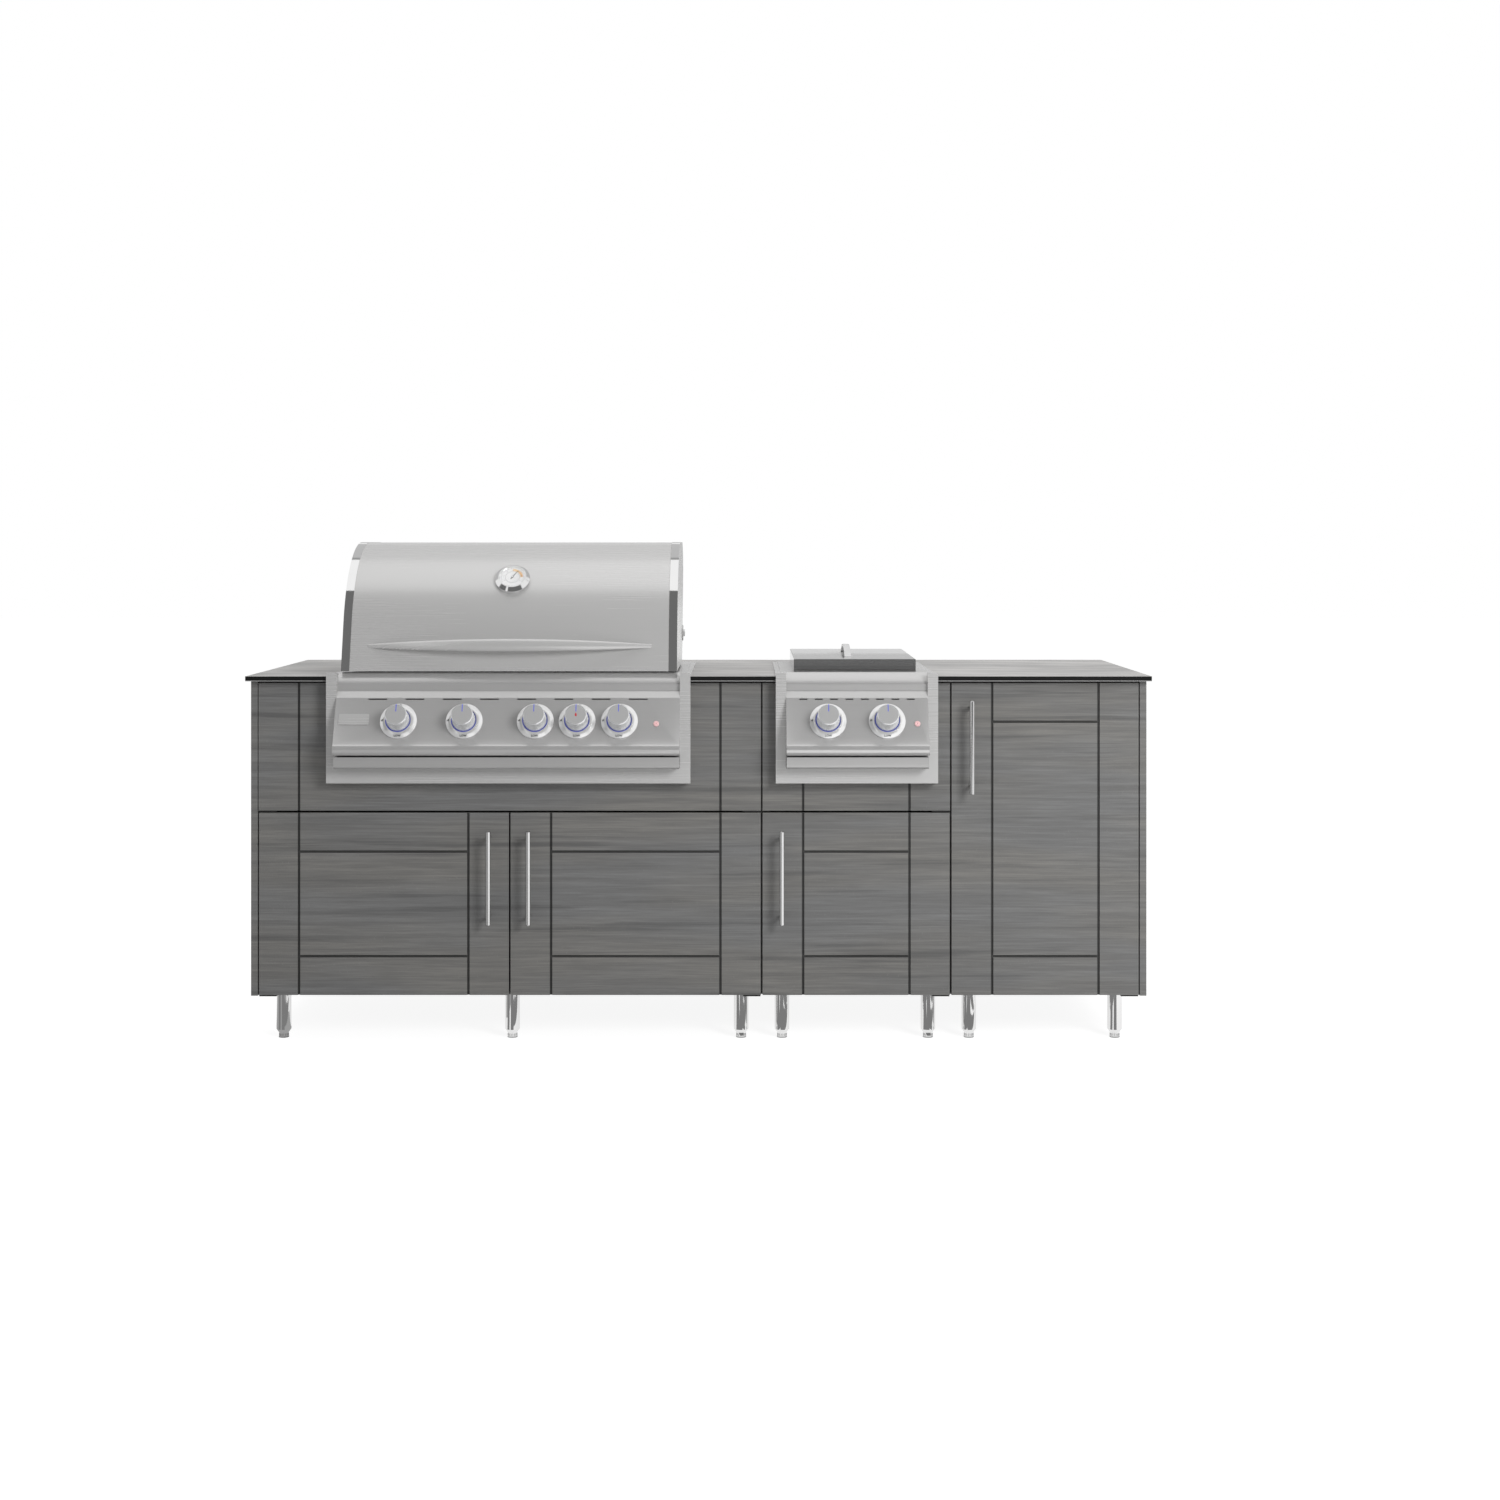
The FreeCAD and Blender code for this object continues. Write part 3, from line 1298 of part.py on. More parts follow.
def burner_lid():
    """A folded sheet cover with a slightly crowned top and a bow handle, lifted off by hand."""
    half = lid_width / 2
    z0 = firebox_top + fit_gap
    front_top = z0 + lid_front_rise
    back_top = front_top + lid_crown
    profile = [(lid_front_y, z0), (lid_front_y, front_top), (lid_back_y, back_top), (lid_back_y, z0)]
    cover = side_polygon(profile, burner_x - half, burner_x + half)
    top_edges = [e for e in cover.Edges if all(v.Z > z0 + lid_front_rise / 2 for v in e.Vertexes)]
    cover = cover.makeFillet(lid_edge_radius, top_edges)
    t = lid_sheet
    hollow = side_polygon([(lid_front_y + t, z0), (lid_front_y + t, front_top - t - lid_corner_gap),
                           (lid_front_y + t + lid_edge_radius / 2, front_top - t),
                           (lid_back_y - t - lid_edge_radius / 2, back_top - t),
                           (lid_back_y - t, back_top - t - lid_corner_gap), (lid_back_y - t, z0)],
                          burner_x - half + t + lid_corner_gap, burner_x + half - t - lid_corner_gap)
    return group([cover.cut(hollow), lid_handle(front_top, back_top)])


def lid_handle(front_top, back_top):
    """A flat bow from front to back whose feet stand on the lid."""
    slope = (back_top - front_top) / (lid_back_y - lid_front_y)
    z_front = front_top + (lid_handle_front_y - lid_front_y) * slope
    z_back = front_top + (lid_handle_back_y - lid_front_y) * slope
    mid_y = (lid_handle_front_y + lid_handle_back_y) / 2
    mid_z = (z_front + z_back) / 2 + lid_handle_rise
    t = lid_handle_thickness
    foot = lid_handle_width
    edges = [
        arc(side_point(lid_handle_front_y, z_front), side_point(mid_y, mid_z),
            side_point(lid_handle_back_y, z_back)),
        line(side_point(lid_handle_back_y, z_back),
             side_point(lid_handle_back_y - foot, z_back - foot * slope)),
        arc(side_point(lid_handle_back_y - foot, z_back - foot * slope), side_point(mid_y, mid_z - t),
            side_point(lid_handle_front_y + foot, z_front + foot * slope)),
        line(side_point(lid_handle_front_y + foot, z_front + foot * slope),
             side_point(lid_handle_front_y, z_front)),
    ]
    bow = face_from_edges(edges).extrude(V(lid_handle_width, 0, 0))
    bow.translate(V(burner_x + lid_handle_offset - lid_handle_width / 2, 0, 0))
    return bow


def build_nodes():
    nodes = {
        "end_panels": end_panels(),
        "grill_cabinet_box": group(cabinet_box(grill_left, grill_cabinet_width, False)),
        "burner_cabinet_box": group(cabinet_box(burner_left, burner_cabinet_width, False)),
        "storage_cabinet_box": storage_box(),
        "storage_shelf": storage_shelf(),
        "grill_cabinet_front": false_front(grill_left, grill_cabinet_width, grill_x, grill_unit_width),
        "burner_cabinet_front": false_front(burner_left, burner_cabinet_width, burner_x, burner_unit_width),
        "leg_tubes": group([leg_tube(x, y) for x, y in leg_places()]),
        "levelling_feet": group([levelling_foot(x, y) for x, y in leg_places()]),
        "countertop": countertop(),
    }
    brackets = []
    for name, left, width, top, side in doors:
        nodes[name] = door(left, width, top, side)
        nodes[name + "_handle"] = door_handle(left, width, top, side)
        brackets += door_brackets(left, width, top, side)
    nodes["door_pivot_brackets"] = group(brackets)

    nodes["grill_jacket"] = trim_and_jacket(grill_x, grill_unit_width)
    nodes["grill_firebox"] = firebox()
    nodes["hood_pivot_pins"] = pivot_pins()
    nodes["grill_control_panel"] = control_panel(grill_x, grill_unit_width, grill_knob_offsets,
                                                 grill_button_offset, grill_slot_length, grill_slot_pitch)
    nodes["grill_gas_manifold"] = grill_manifold()
    nodes["grill_burners"] = grill_burners()
    nodes["flame_tamers"] = flame_tamers()
    nodes["cooking_grates"] = cooking_grates()
    nodes["warming_rack"] = warming_rack()
    nodes["grill_drip_tray"] = drip_tray(grill_x, grill_unit_width)
    nodes["grill_light_button"] = light_button(grill_x + grill_button_offset)
    nodes["hood_shell"] = hood_shell()
    nodes["hood_liner"] = hood_liner()
    nodes["hood_trim"] = hood_trim()
    nodes["hood_handle"] = hood_handle()
    nodes["thermometer_case"] = thermometer_case()
    nodes["thermometer_needle"] = thermometer_needle()

    nodes["burner_jacket"] = trim_and_jacket(burner_x, burner_unit_width)
    nodes["burner_pan"] = burner_pan()
    nodes["burner_control_panel"] = control_panel(burner_x, burner_unit_width, burner_knob_offsets,
                                                  burner_button_offset, burner_slot_length, burner_slot_pitch)
    nodes["burner_gas_manifold"] = burner_manifold()
    nodes["burner_heads"] = burner_heads()
    nodes["burner_grate"] = burner_grate()
    nodes["burner_lid"] = burner_lid()
    nodes["burner_drip_tray"] = drip_tray(burner_x, burner_unit_width)
    nodes["burner_light_button"] = light_button(burner_x + burner_button_offset)

    bezels = []
    units = (("grill", grill_x, grill_knob_offsets), ("burner", burner_x, burner_knob_offsets))
    for label, centre, offsets in units:
        for number, offset in enumerate(offsets, 1):
            nodes["%s_knob_%d" % (label, number)] = knob(centre + offset)
            nodes["%s_plunger_%d" % (label, number)] = plunger(centre + offset)
            bezels.append(bezel(centre + offset))
    nodes["knob_bezels"] = group(bezels)
    return nodes


def middle_y(nodes):
    """Y of the middle of the whole object, where the saved origin goes."""
    boxes = [shape.BoundBox for shape in nodes.values()]
    return (min(b.YMin for b in boxes) + max(b.YMax for b in boxes)) / 2


def save(nodes):
    os.makedirs("parts", exist_ok=True)
    shift = V(0, -middle_y(nodes), 0)
    for name, shape in nodes.items():
        placed = shape.copy()
        placed.translate(shift)
        placed.exportStep("parts/" + name + ".step")
        print(name, "solids", len(placed.Solids), "volume %.0f" % placed.Volume, "valid", placed.isValid())
    print("moved along Y by %.3f" % shift.y)


save(build_nodes())
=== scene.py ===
# %% [markdown]
# An outdoor kitchen island, dressed for a studio picture.
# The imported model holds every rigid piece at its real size, in metres, with the floor at Z = 0,
# the cook standing on the -Y side and +X to the cook's right. This lesson gives each piece its
# finish and adds what is printed, screwed, ported or lit on it. First the model is loaded as a
# fixed frame, because every later piece takes its place from it.

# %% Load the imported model
import bmesh
import bpy
import cmath
import json
import math
from mathutils import Matrix, Vector
from mathutils.geometry import interpolate_bezier


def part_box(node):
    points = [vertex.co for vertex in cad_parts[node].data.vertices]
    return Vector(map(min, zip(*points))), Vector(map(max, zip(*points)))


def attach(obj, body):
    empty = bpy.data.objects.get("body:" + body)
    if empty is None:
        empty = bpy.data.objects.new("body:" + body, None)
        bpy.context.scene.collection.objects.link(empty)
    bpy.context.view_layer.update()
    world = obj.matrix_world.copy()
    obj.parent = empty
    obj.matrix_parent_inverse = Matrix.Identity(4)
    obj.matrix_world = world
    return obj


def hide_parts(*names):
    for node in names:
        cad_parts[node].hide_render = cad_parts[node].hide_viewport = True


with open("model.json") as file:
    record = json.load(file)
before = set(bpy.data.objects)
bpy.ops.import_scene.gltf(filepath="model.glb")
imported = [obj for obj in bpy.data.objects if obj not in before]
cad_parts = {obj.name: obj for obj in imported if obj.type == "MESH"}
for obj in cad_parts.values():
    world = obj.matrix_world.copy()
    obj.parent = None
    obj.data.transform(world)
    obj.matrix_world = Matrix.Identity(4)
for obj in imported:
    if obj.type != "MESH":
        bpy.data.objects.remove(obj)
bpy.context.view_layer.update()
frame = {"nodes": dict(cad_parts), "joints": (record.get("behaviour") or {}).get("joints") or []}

# %% [markdown]
# Sizes that the finishes and added pieces need.
# They could all be typed in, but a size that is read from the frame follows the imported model. Only
# what a box round a node can't tell is written down, such as how far the control face leans.

# %% Measure the frame
mm = 0.001
door_face_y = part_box("left_door")[0].y
worktop_low, worktop_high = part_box("countertop")
face_tilt = math.radians(24.8)
face_out = Vector((0.0, -math.cos(face_tilt), math.sin(face_tilt)))
face_up = Vector((0.0, math.sin(face_tilt), math.cos(face_tilt)))
right = Vector((1.0, 0.0, 0.0))
backward = Vector((0.0, 1.0, 0.0))
upward = Vector((0.0, 0.0, 1.0))
knob_names = ["grill_knob_%d" % n for n in range(1, 6)] + ["burner_knob_1", "burner_knob_2"]


def middle(node):
    low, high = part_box(node)
    return (low + high) / 2


def frame_at(origin, x_axis, z_axis):
    """A matrix that stands a flat piece at origin, with its own Z along z_axis."""
    y_axis = z_axis.cross(x_axis)
    turn = Matrix((x_axis, y_axis, z_axis)).transposed().to_4x4()
    return Matrix.Translation(origin) @ turn


print("worktop top at", round(worktop_high.z, 4), "door faces at", round(door_face_y, 4))

# %% [markdown]
# A way to write node trees as sums.
# Materials and Geometry Nodes are both trees of sockets. They could be wired one link at a time, but
# that takes pages. Here one small class wraps a socket, so that 1 - mask or streak * 0.1 adds the
# Math nodes it needs, and one method adds every other node. That keeps each recipe as short as the
# sentence that describes it.

# %% Node trees as expressions


class Link:
    """A socket that takes part in sums."""

    def __init__(self, board, socket):
        self.board = board
        self.socket = socket

    def out(self, name):
        return Link(self.board, find_socket(self.socket.node.outputs, name))

    def __add__(self, other):
        return self.board.math("ADD", self, other)

    def __radd__(self, other):
        return self.board.math("ADD", other, self)

    def __sub__(self, other):
        return self.board.math("SUBTRACT", self, other)

    def __rsub__(self, other):
        return self.board.math("SUBTRACT", other, self)

    def __mul__(self, other):
        return self.board.math("MULTIPLY", self, other)

    def __rmul__(self, other):
        return self.board.math("MULTIPLY", other, self)

    def __truediv__(self, other):
        return self.board.math("DIVIDE", self, other)


def find_socket(sockets, key):
    if isinstance(key, int):
        return sockets[key]
    for socket in sockets:
        if socket.identifier == key:
            return socket
    return sockets[key]


class Board:
    """A node tree being built."""

    def __init__(self, tree):
        self.tree = tree

    def node(self, kind, settings=None, sockets=None, output=0):
        made = self.tree.nodes.new(kind)
        for key, value in (settings or {}).items():
            setattr(made, key, value)
        for key, value in (sockets or {}).items():
            socket = find_socket(made.inputs, key)
            if isinstance(value, Link):
                self.tree.links.new(value.socket, socket)
            else:
                socket.default_value = value
        if output is None:
            return None
        return Link(self, find_socket(made.outputs, output))

    def math(self, operation, first, second=0.0):
        return self.node("ShaderNodeMath", {"operation": operation}, {0: first, 1: second})

    def point(self, x, y, z):
        return self.node("ShaderNodeCombineXYZ", sockets={0: x, 1: y, 2: z})


class Finish(Board):
    """A material being built on Object coordinates, or on the piece's own flat map."""

    def __init__(self, name):
        self.material = bpy.data.materials.new(name)
        self.material.use_nodes = True
        super().__init__(self.material.node_tree)
        self.tree.nodes.clear()

    def split(self, vector):
        parts = self.node("ShaderNodeSeparateXYZ", sockets={0: vector})
        return parts.out("X"), parts.out("Y"), parts.out("Z")

    def axes(self):
        return self.split(self.node("ShaderNodeTexCoord", output="Object"))

    def flat(self):
        return self.split(self.node("ShaderNodeUVMap", {"uv_map": "flat"}))

    def side(self):
        """1 on faces that look along X, 0 on the others."""
        normal = self.split(self.node("ShaderNodeTexCoord", output="Normal"))
        return self.between(self.math("ABSOLUTE", normal[0]), 0.6, 0.8)

    def noise(self, place, detail=2.0, roughness=0.5):
        sockets = {"Vector": place, "Scale": 1.0, "Detail": detail, "Roughness": roughness}
        return self.node("ShaderNodeTexNoise", sockets=sockets)

    def between(self, value, low, high):
        """0 below low and 1 above high, with a smooth step."""
        sockets = {"Value": value, "From Min": low, "From Max": high}
        return self.node("ShaderNodeMapRange", {"interpolation_type": "SMOOTHSTEP"}, sockets)

    def mix(self, factor, first, second):
        sockets = {"Factor_Float": factor, "A_Color": first, "B_Color": second}
        return self.node("ShaderNodeMix", {"data_type": "RGBA"}, sockets, "Result_Color")

    def bump(self, height, distance, strength=1.0):
        sockets = {"Height": height, "Distance": distance, "Strength": strength}
        return self.node("ShaderNodeBump", sockets=sockets)

    def surface(self, **sockets):
        named = {key.replace("_", " "): value for key, value in sockets.items()}
        shader = self.node("ShaderNodeBsdfPrincipled", sockets=named)
        self.node("ShaderNodeOutputMaterial", sockets={"Surface": shader}, output=None)
        return self.material


def grey(level, warmth=0.0):
    """A linear grey, a little warmer for a positive warmth."""
    return (level * (1 + warmth), level, level * (1 - warmth), 1.0)


print("node helpers ready")

# %% [markdown]
# The cabinet boards.
# The fronts are through-coloured outdoor board, embossed with a straight grain that runs along the
# island and carries on across the stiles. Long thin noise gives the fine grain, and a coarser one
# the strands. Warm and cool patches of tone sit under both. Long dark threads come from a third
# noise cut off at a level. Small pale flecks are short arcs, cut out of rings round scattered
# cells. The routed lines carry painted shade: they are coloured near black, as shade in their
# depth would make them. A picture of a board could give the grain too, but noise on the real
# sizes never repeats and needs no file.

# %% Grey board
groove_depth = 4.5 * mm
groove_shade = 0.8
grain_lines = 300.0
grain_length = 9.0
strand_lines = 95.0
strand_length = 2.6
thread_lines = 30.0
thread_length = 1.1
fleck_cells = 34.0
fleck_ring = 0.16
fleck_width = 0.02
warm_tone = (0.204, 0.199, 0.187, 1)
cool_tone = (0.185, 0.187, 0.187, 1)


def board_grain(finish, x, y, z):
    side = finish.side()
    along = x * (1 - side) + y * side
    sway = finish.noise(finish.point(along * 1.7, z * 3.5, 0.0), 3.0) - 0.5
    level = z + sway * 0.014
    fine = finish.noise(finish.point(along * grain_length, level * grain_lines, 0.0), 4.0, 0.65)
    strand = finish.noise(finish.point(along * strand_length, level * strand_lines, 3.0), 4.0, 0.65)
    thread = finish.noise(finish.point(along * thread_length, level * thread_lines, 7.0), 4.0, 0.6)
    patch = finish.noise(finish.point(along * 1.5, level * 8.0, 5.0), 2.0)
    return along, level, fine, strand, finish.between(thread, 0.55, 0.68), patch


def board_flecks(finish, along, level):
    place = finish.point(along * fleck_cells, level * fleck_cells * 1.5, 0.0)
    cell = finish.node("ShaderNodeTexVoronoi", {"voronoi_dimensions": "2D"},
                       {"Vector": place, "Scale": 1.0})
    ring = 1 - finish.between(finish.math("ABSOLUTE", cell - fleck_ring), 0.0, fleck_width)
    centre = finish.split(cell.out("Position"))
    beside = finish.between(centre[0] - along * fleck_cells, 0.04, 0.16)
    patch = finish.between(finish.noise(finish.point(along * 5.0, level * 17.0, 9.0), 2.0), 0.52, 0.62)
    return ring * beside * patch


def grey_board(name="grey_board", front_y=None):
    finish = Finish(name)
    x, y, z = finish.axes()
    along, level, fine, strand, thread, patch = board_grain(finish, x, y, z)
    fleck = board_flecks(finish, along, level)
    tone = finish.mix(finish.between(patch, 0.35, 0.65), cool_tone, warm_tone)
    tone = finish.mix(finish.between(strand, 0.36, 0.64) * 0.5, tone, grey(0.105, 0.01))
    tone = finish.mix(finish.between(fine, 0.3, 0.7) * 0.42, tone, grey(0.100, 0.01))
    tone = finish.mix(thread * 0.5, tone, grey(0.075, 0.0))
    tone = finish.mix(fleck * 0.35, tone, grey(0.30, 0.01))
    if front_y is not None:
        # Painted shade: faces from about 1 mm to 5 mm behind the front, the walls and floors of the routed
        # lines and the edges in the gaps, are coloured near black.
        below = finish.between(y, front_y + 0.8 * mm, front_y + 1.6 * mm)
        floor_y = front_y + groove_depth
        above = 1 - finish.between(y, floor_y + 0.6 * mm, floor_y + 1.2 * mm)
        tone = finish.mix(below * above * groove_shade, tone, grey(0.02))
    height = fine * 0.6 + strand * 0.25 - thread * 0.4 + fleck * 0.2
    rough = 0.52 + (fine - 0.5) * 0.2
    return finish.surface(Base_Color=tone, Roughness=rough, Normal=finish.bump(height, 0.35 * mm, 0.6))


front_board = grey_board("grey_board_fronts", door_face_y)
plain_board = grey_board("grey_board_boxes")
print("boards", front_board.name, plain_board.name)

# %% [markdown]
# The worktop.
# It is a thin compact slab: a pale stone decor on top and a black core at the edge, with a painted
# highlight, a thin lighter line, along the bottom of the edge. Three thin sheets could be stacked, but
# the slab is one solid in the frame, so the material tells these bands apart by height. The veins are
# noise, bent by a slower noise.

# %% Worktop slab
decor_depth = 0.3 * mm
edge_highlight_height = 1.7 * mm


def worktop_slab():
    finish = Finish("worktop_slab")
    x, y, z = finish.axes()
    cloud = finish.noise(finish.point(x * 2.2, y * 5.0, 0.0), 5.0, 0.6)
    bend = finish.noise(finish.point(x * 1.1, y * 1.7, 4.0), 3.0) - 0.5
    vein_place = y * 7.0 + x * 0.9 + bend * 3.2
    vein = finish.noise(finish.point(x * 0.8, vein_place, 2.0), 4.0, 0.7)
    thread = 1 - finish.between(finish.math("ABSOLUTE", vein - 0.5), 0.0, 0.05)
    speck = finish.noise(finish.point(x * 420.0, y * 420.0, 0.0), 1.0)
    stone = finish.mix(finish.between(cloud, 0.3, 0.7), grey(0.36, 0.015), grey(0.49, 0.02))
    stone = finish.mix(thread * 0.35, stone, grey(0.16, 0.0))
    stone = finish.mix(finish.between(speck, 0.55, 0.8) * 0.25, stone, grey(0.55, 0.01))
    top = finish.between(z, worktop_high.z - decor_depth, worktop_high.z - decor_depth * 0.5)
    # Painted highlight: the bottom 1.7 mm of the slab, under its black edge, is coloured a lighter grey.
    edge_highlight = 1 - finish.between(z, worktop_low.z + edge_highlight_height, worktop_low.z + edge_highlight_height * 1.1)
    edge = finish.mix(edge_highlight, grey(0.006), grey(0.30, 0.0))
    colour = finish.mix(top, edge, stone)
    rough = 0.52 + (cloud - 0.5) * 0.16
    return finish.surface(Base_Color=colour, Roughness=rough, Specular_IOR_Level=0.25,
                          Normal=finish.bump(speck * top, 0.05 * mm, 0.4))


worktop_finish = worktop_slab()
print("worktop layers", worktop_finish.name)

# %% [markdown]
# Stainless steel, brushed and polished.
# The appliance sheets are brushed along their length: fine lines that scatter most of the light
# and leave a weak, soft reflection. A full metal would mirror the room too clearly, so the sheet is
# part matt and part metal. The trim bands, handles and legs are polished, and only faint wiping
# marks break their shine. Heat colours the burner parts straw and brown.

# %% Steel recipes


def brushed_grain(finish):
    x, y, z = finish.axes()
    side = finish.side()
    along = x * (1 - side) + y * side
    across = z + y * (1 - side)
    hair = finish.noise(finish.point(along * 4.0, across * 600.0, 0.0), 3.0, 0.6)
    streak = finish.noise(finish.point(along * 1.2, across * 160.0, 5.0), 3.0, 0.6)
    cloud = finish.noise(finish.point(along * 1.5, across * 3.0, 8.0), 3.0)
    return hair, streak, cloud


def brushed_steel(name, dark, light, roughness, metallic=1.0):
    finish = Finish(name)
    hair, streak, cloud = brushed_grain(finish)
    mark = hair * 0.5 + streak * 0.3 + cloud * 0.2
    colour = finish.mix(finish.between(mark, 0.25, 0.75), dark, light)
    rough = roughness + (hair - 0.5) * 0.03 + (cloud - 0.5) * 0.04
    normal = finish.bump(hair, 0.01 * mm, 0.03)
    return finish.surface(Base_Color=colour, Metallic=metallic, Roughness=rough, Normal=normal)


def polished_steel(name, colour, roughness):
    finish = Finish(name)
    x, y, z = finish.axes()
    wipe = finish.noise(finish.point(x * 14.0, y * 14.0, z * 14.0), 4.0, 0.6)
    rough = roughness + finish.between(wipe, 0.45, 0.8) * 0.06
    tint = finish.mix(wipe, colour, grey(colour[1] * 0.94))
    return finish.surface(Base_Color=tint, Metallic=1.0, Roughness=rough)


def heated_steel():
    finish = Finish("heated_steel")
    hair, streak, cloud = brushed_grain(finish)
    tint = finish.mix(finish.between(cloud, 0.35, 0.65), (0.46, 0.43, 0.38, 1), (0.33, 0.27, 0.21, 1))
    return finish.surface(Base_Color=tint, Metallic=1.0, Roughness=0.32 + hair * 0.16)


def plated_steel():
    finish = Finish("plated_steel")
    x, y, z = finish.axes()
    spot = finish.noise(finish.point(x * 60.0, y * 60.0, z * 60.0), 3.0)
    tint = finish.mix(spot, (0.50, 0.51, 0.50, 1), (0.60, 0.59, 0.55, 1))
    return finish.surface(Base_Color=tint, Metallic=1.0, Roughness=0.3 + spot * 0.15)


def cast_iron():
    finish = Finish("cast_iron")
    x, y, z = finish.axes()
    sand = finish.noise(finish.point(x * 700.0, y * 700.0, z * 700.0), 3.0, 0.7)
    patch = finish.noise(finish.point(x * 25.0, y * 25.0, z * 25.0), 3.0)
    tint = finish.mix(patch, grey(0.018, 0.05), grey(0.045, 0.1))
    return finish.surface(Base_Color=tint, Roughness=0.55 + patch * 0.2,
                          Normal=finish.bump(sand, 0.3 * mm, 0.8))


print("steel recipes ready")

# %% [markdown]
# The steels of this island.
# One steel for all would be simpler, but rolled, turned and polished steel don't shine alike, so
# each kind of piece gets its own tone and roughness: a darker tray, a satin bezel, bright rods. The
# burner's lid is one solid with its handle, so its recipe changes from polished to satin by height.

# %% Steel finishes
lid_handle_rise = 26 * mm
lid_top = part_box("burner_lid")[1].z - lid_handle_rise


def lid_sheet():
    """Polished on the lid, satin on the handle that stands above it."""
    finish = Finish("lid_sheet")
    hair, streak, cloud = brushed_grain(finish)
    x, y, z = finish.axes()
    handle = finish.between(z, lid_top - 0.5 * mm, lid_top + 0.5 * mm)
    sheet = finish.mix(finish.between(hair * 0.6 + streak * 0.4, 0.3, 0.7), grey(0.57), grey(0.63))
    satin = finish.mix(hair, grey(0.66), grey(0.72))
    rough = 0.12 + hair * 0.04 + handle * 0.2
    return finish.surface(Base_Color=finish.mix(handle, sheet, satin), Metallic=1 - handle * 0.6,
                          Roughness=rough, Normal=finish.bump(hair, 0.05 * mm, 0.3))


sheet_steel = brushed_steel("brushed_sheet", grey(0.545, 0.006), grey(0.562, 0.006), 0.27, 0.36)
panel_steel = brushed_steel("panel_sheet", grey(0.55, 0.006), grey(0.58, 0.006), 0.24, 0.55)
tray_steel = brushed_steel("tray_sheet", grey(0.42, 0.006), grey(0.45, 0.006), 0.26, 0.40)
lid_steel = lid_sheet()
band_steel = polished_steel("polished_band", grey(0.88, 0.003), 0.05)
bright_steel = polished_steel("bright_rod", grey(0.66, 0.004), 0.12)
leg_steel = polished_steel("bright_tube", grey(0.78, 0.003), 0.06)
bezel_steel = brushed_steel("satin_bezel", grey(0.76, 0.0), grey(0.82, 0.0), 0.24, 0.55)
chrome_steel = polished_steel("chrome_case", grey(0.80, 0.0), 0.10)
rod_steel = polished_steel("grate_rod", grey(0.52, 0.01), 0.30)
foot_steel = polished_steel("foot_knurl", grey(0.40, 0.0), 0.25)
burner_finish = heated_steel()
plate_finish = plated_steel()
iron_finish = cast_iron()
print("steel finishes ready, materials so far:", len(bpy.data.materials))

# %% [markdown]
# Small finishes: knob bodies, printing ink, blue light, the tinted lamp button and black paint. The
# black paint also serves as painted shade inside holes and ports.
# Each is a plain shader with a little noise, so that no surface is quite even. The blue lights glow
# by themselves. A real lamp in each ring would take long to render and hardly show on the steel.

# %% Small finishes


def satin_knob():
    finish = Finish("satin_knob")
    x, y, z = finish.axes()
    grain = finish.noise(finish.point(x * 900.0, y * 900.0, z * 900.0), 2.0)
    return finish.surface(Base_Color=finish.mix(grain, grey(0.70, -0.01), grey(0.76, -0.01)), Metallic=0.6,
                          Roughness=0.22 + grain * 0.08)


def turned_cap():
    """Circular brushing round the knob's axis, on the cap's own flat map."""
    finish = Finish("turned_cap")
    x, y, z = finish.flat()
    radius = finish.math("SQRT", x * x + y * y)
    ring = finish.noise(finish.point(radius * 2600.0, 0.0, 0.0), 3.0, 0.7)
    colour = finish.mix(ring, grey(0.46, 0.0), grey(0.54, 0.0))
    return finish.surface(Base_Color=colour, Metallic=0.4, Roughness=0.34 + ring * 0.12,
                          Normal=finish.bump(ring, 0.05 * mm, 0.4))


def glow(name, base, light, strength):
    finish = Finish(name)
    x, y, z = finish.axes()
    cloud = finish.noise(finish.point(x * 90.0, y * 90.0, z * 90.0), 2.0)
    colour = finish.mix(cloud, light, [c * 0.8 for c in light[:3]] + [1.0])
    return finish.surface(Base_Color=base, Roughness=0.3, Emission_Color=colour, Emission_Strength=strength)


def ink(name, colour):
    finish = Finish(name)
    x, y, z = finish.axes()
    wear = finish.noise(finish.point(x * 500.0, y * 500.0, z * 500.0), 2.0)
    faded = [min(1.0, c * 1.25 + 0.01) for c in colour[:3]] + [1.0]
    return finish.surface(Base_Color=finish.mix(wear, colour, faded), Roughness=0.5)


def clear_cover():
    finish = Finish("clear_glass")
    x, y, z = finish.axes()
    haze = finish.noise(finish.point(x * 300.0, y * 300.0, z * 300.0), 2.0)
    return finish.surface(Base_Color=grey(1.0), Roughness=0.02 + haze * 0.02, Transmission_Weight=1.0,
                          IOR=1.45)


knob_finish = satin_knob()
clear_glass = clear_cover()
cap_finish = turned_cap()
blue_light = glow("blue_light", (0.03, 0.04, 0.20, 1), (0.07, 0.09, 0.52, 1), 0.42)
index_light = glow("index_light", (0.05, 0.07, 0.42, 1), (0.12, 0.15, 0.70, 1), 0.4)
button_finish = glow("button_pink", (0.72, 0.50, 0.50, 1), (0.80, 0.42, 0.42, 1), 0.12)
black_ink = ink("black_ink", (0.02, 0.02, 0.022, 1))
red_ink = ink("red_ink", (0.42, 0.03, 0.04, 1))
sign_ink = ink("sign_ink", (0.50, 0.22, 0.24, 1))
black_paint = ink("black_paint", (0.012, 0.012, 0.012, 1))
print("small finishes ready")
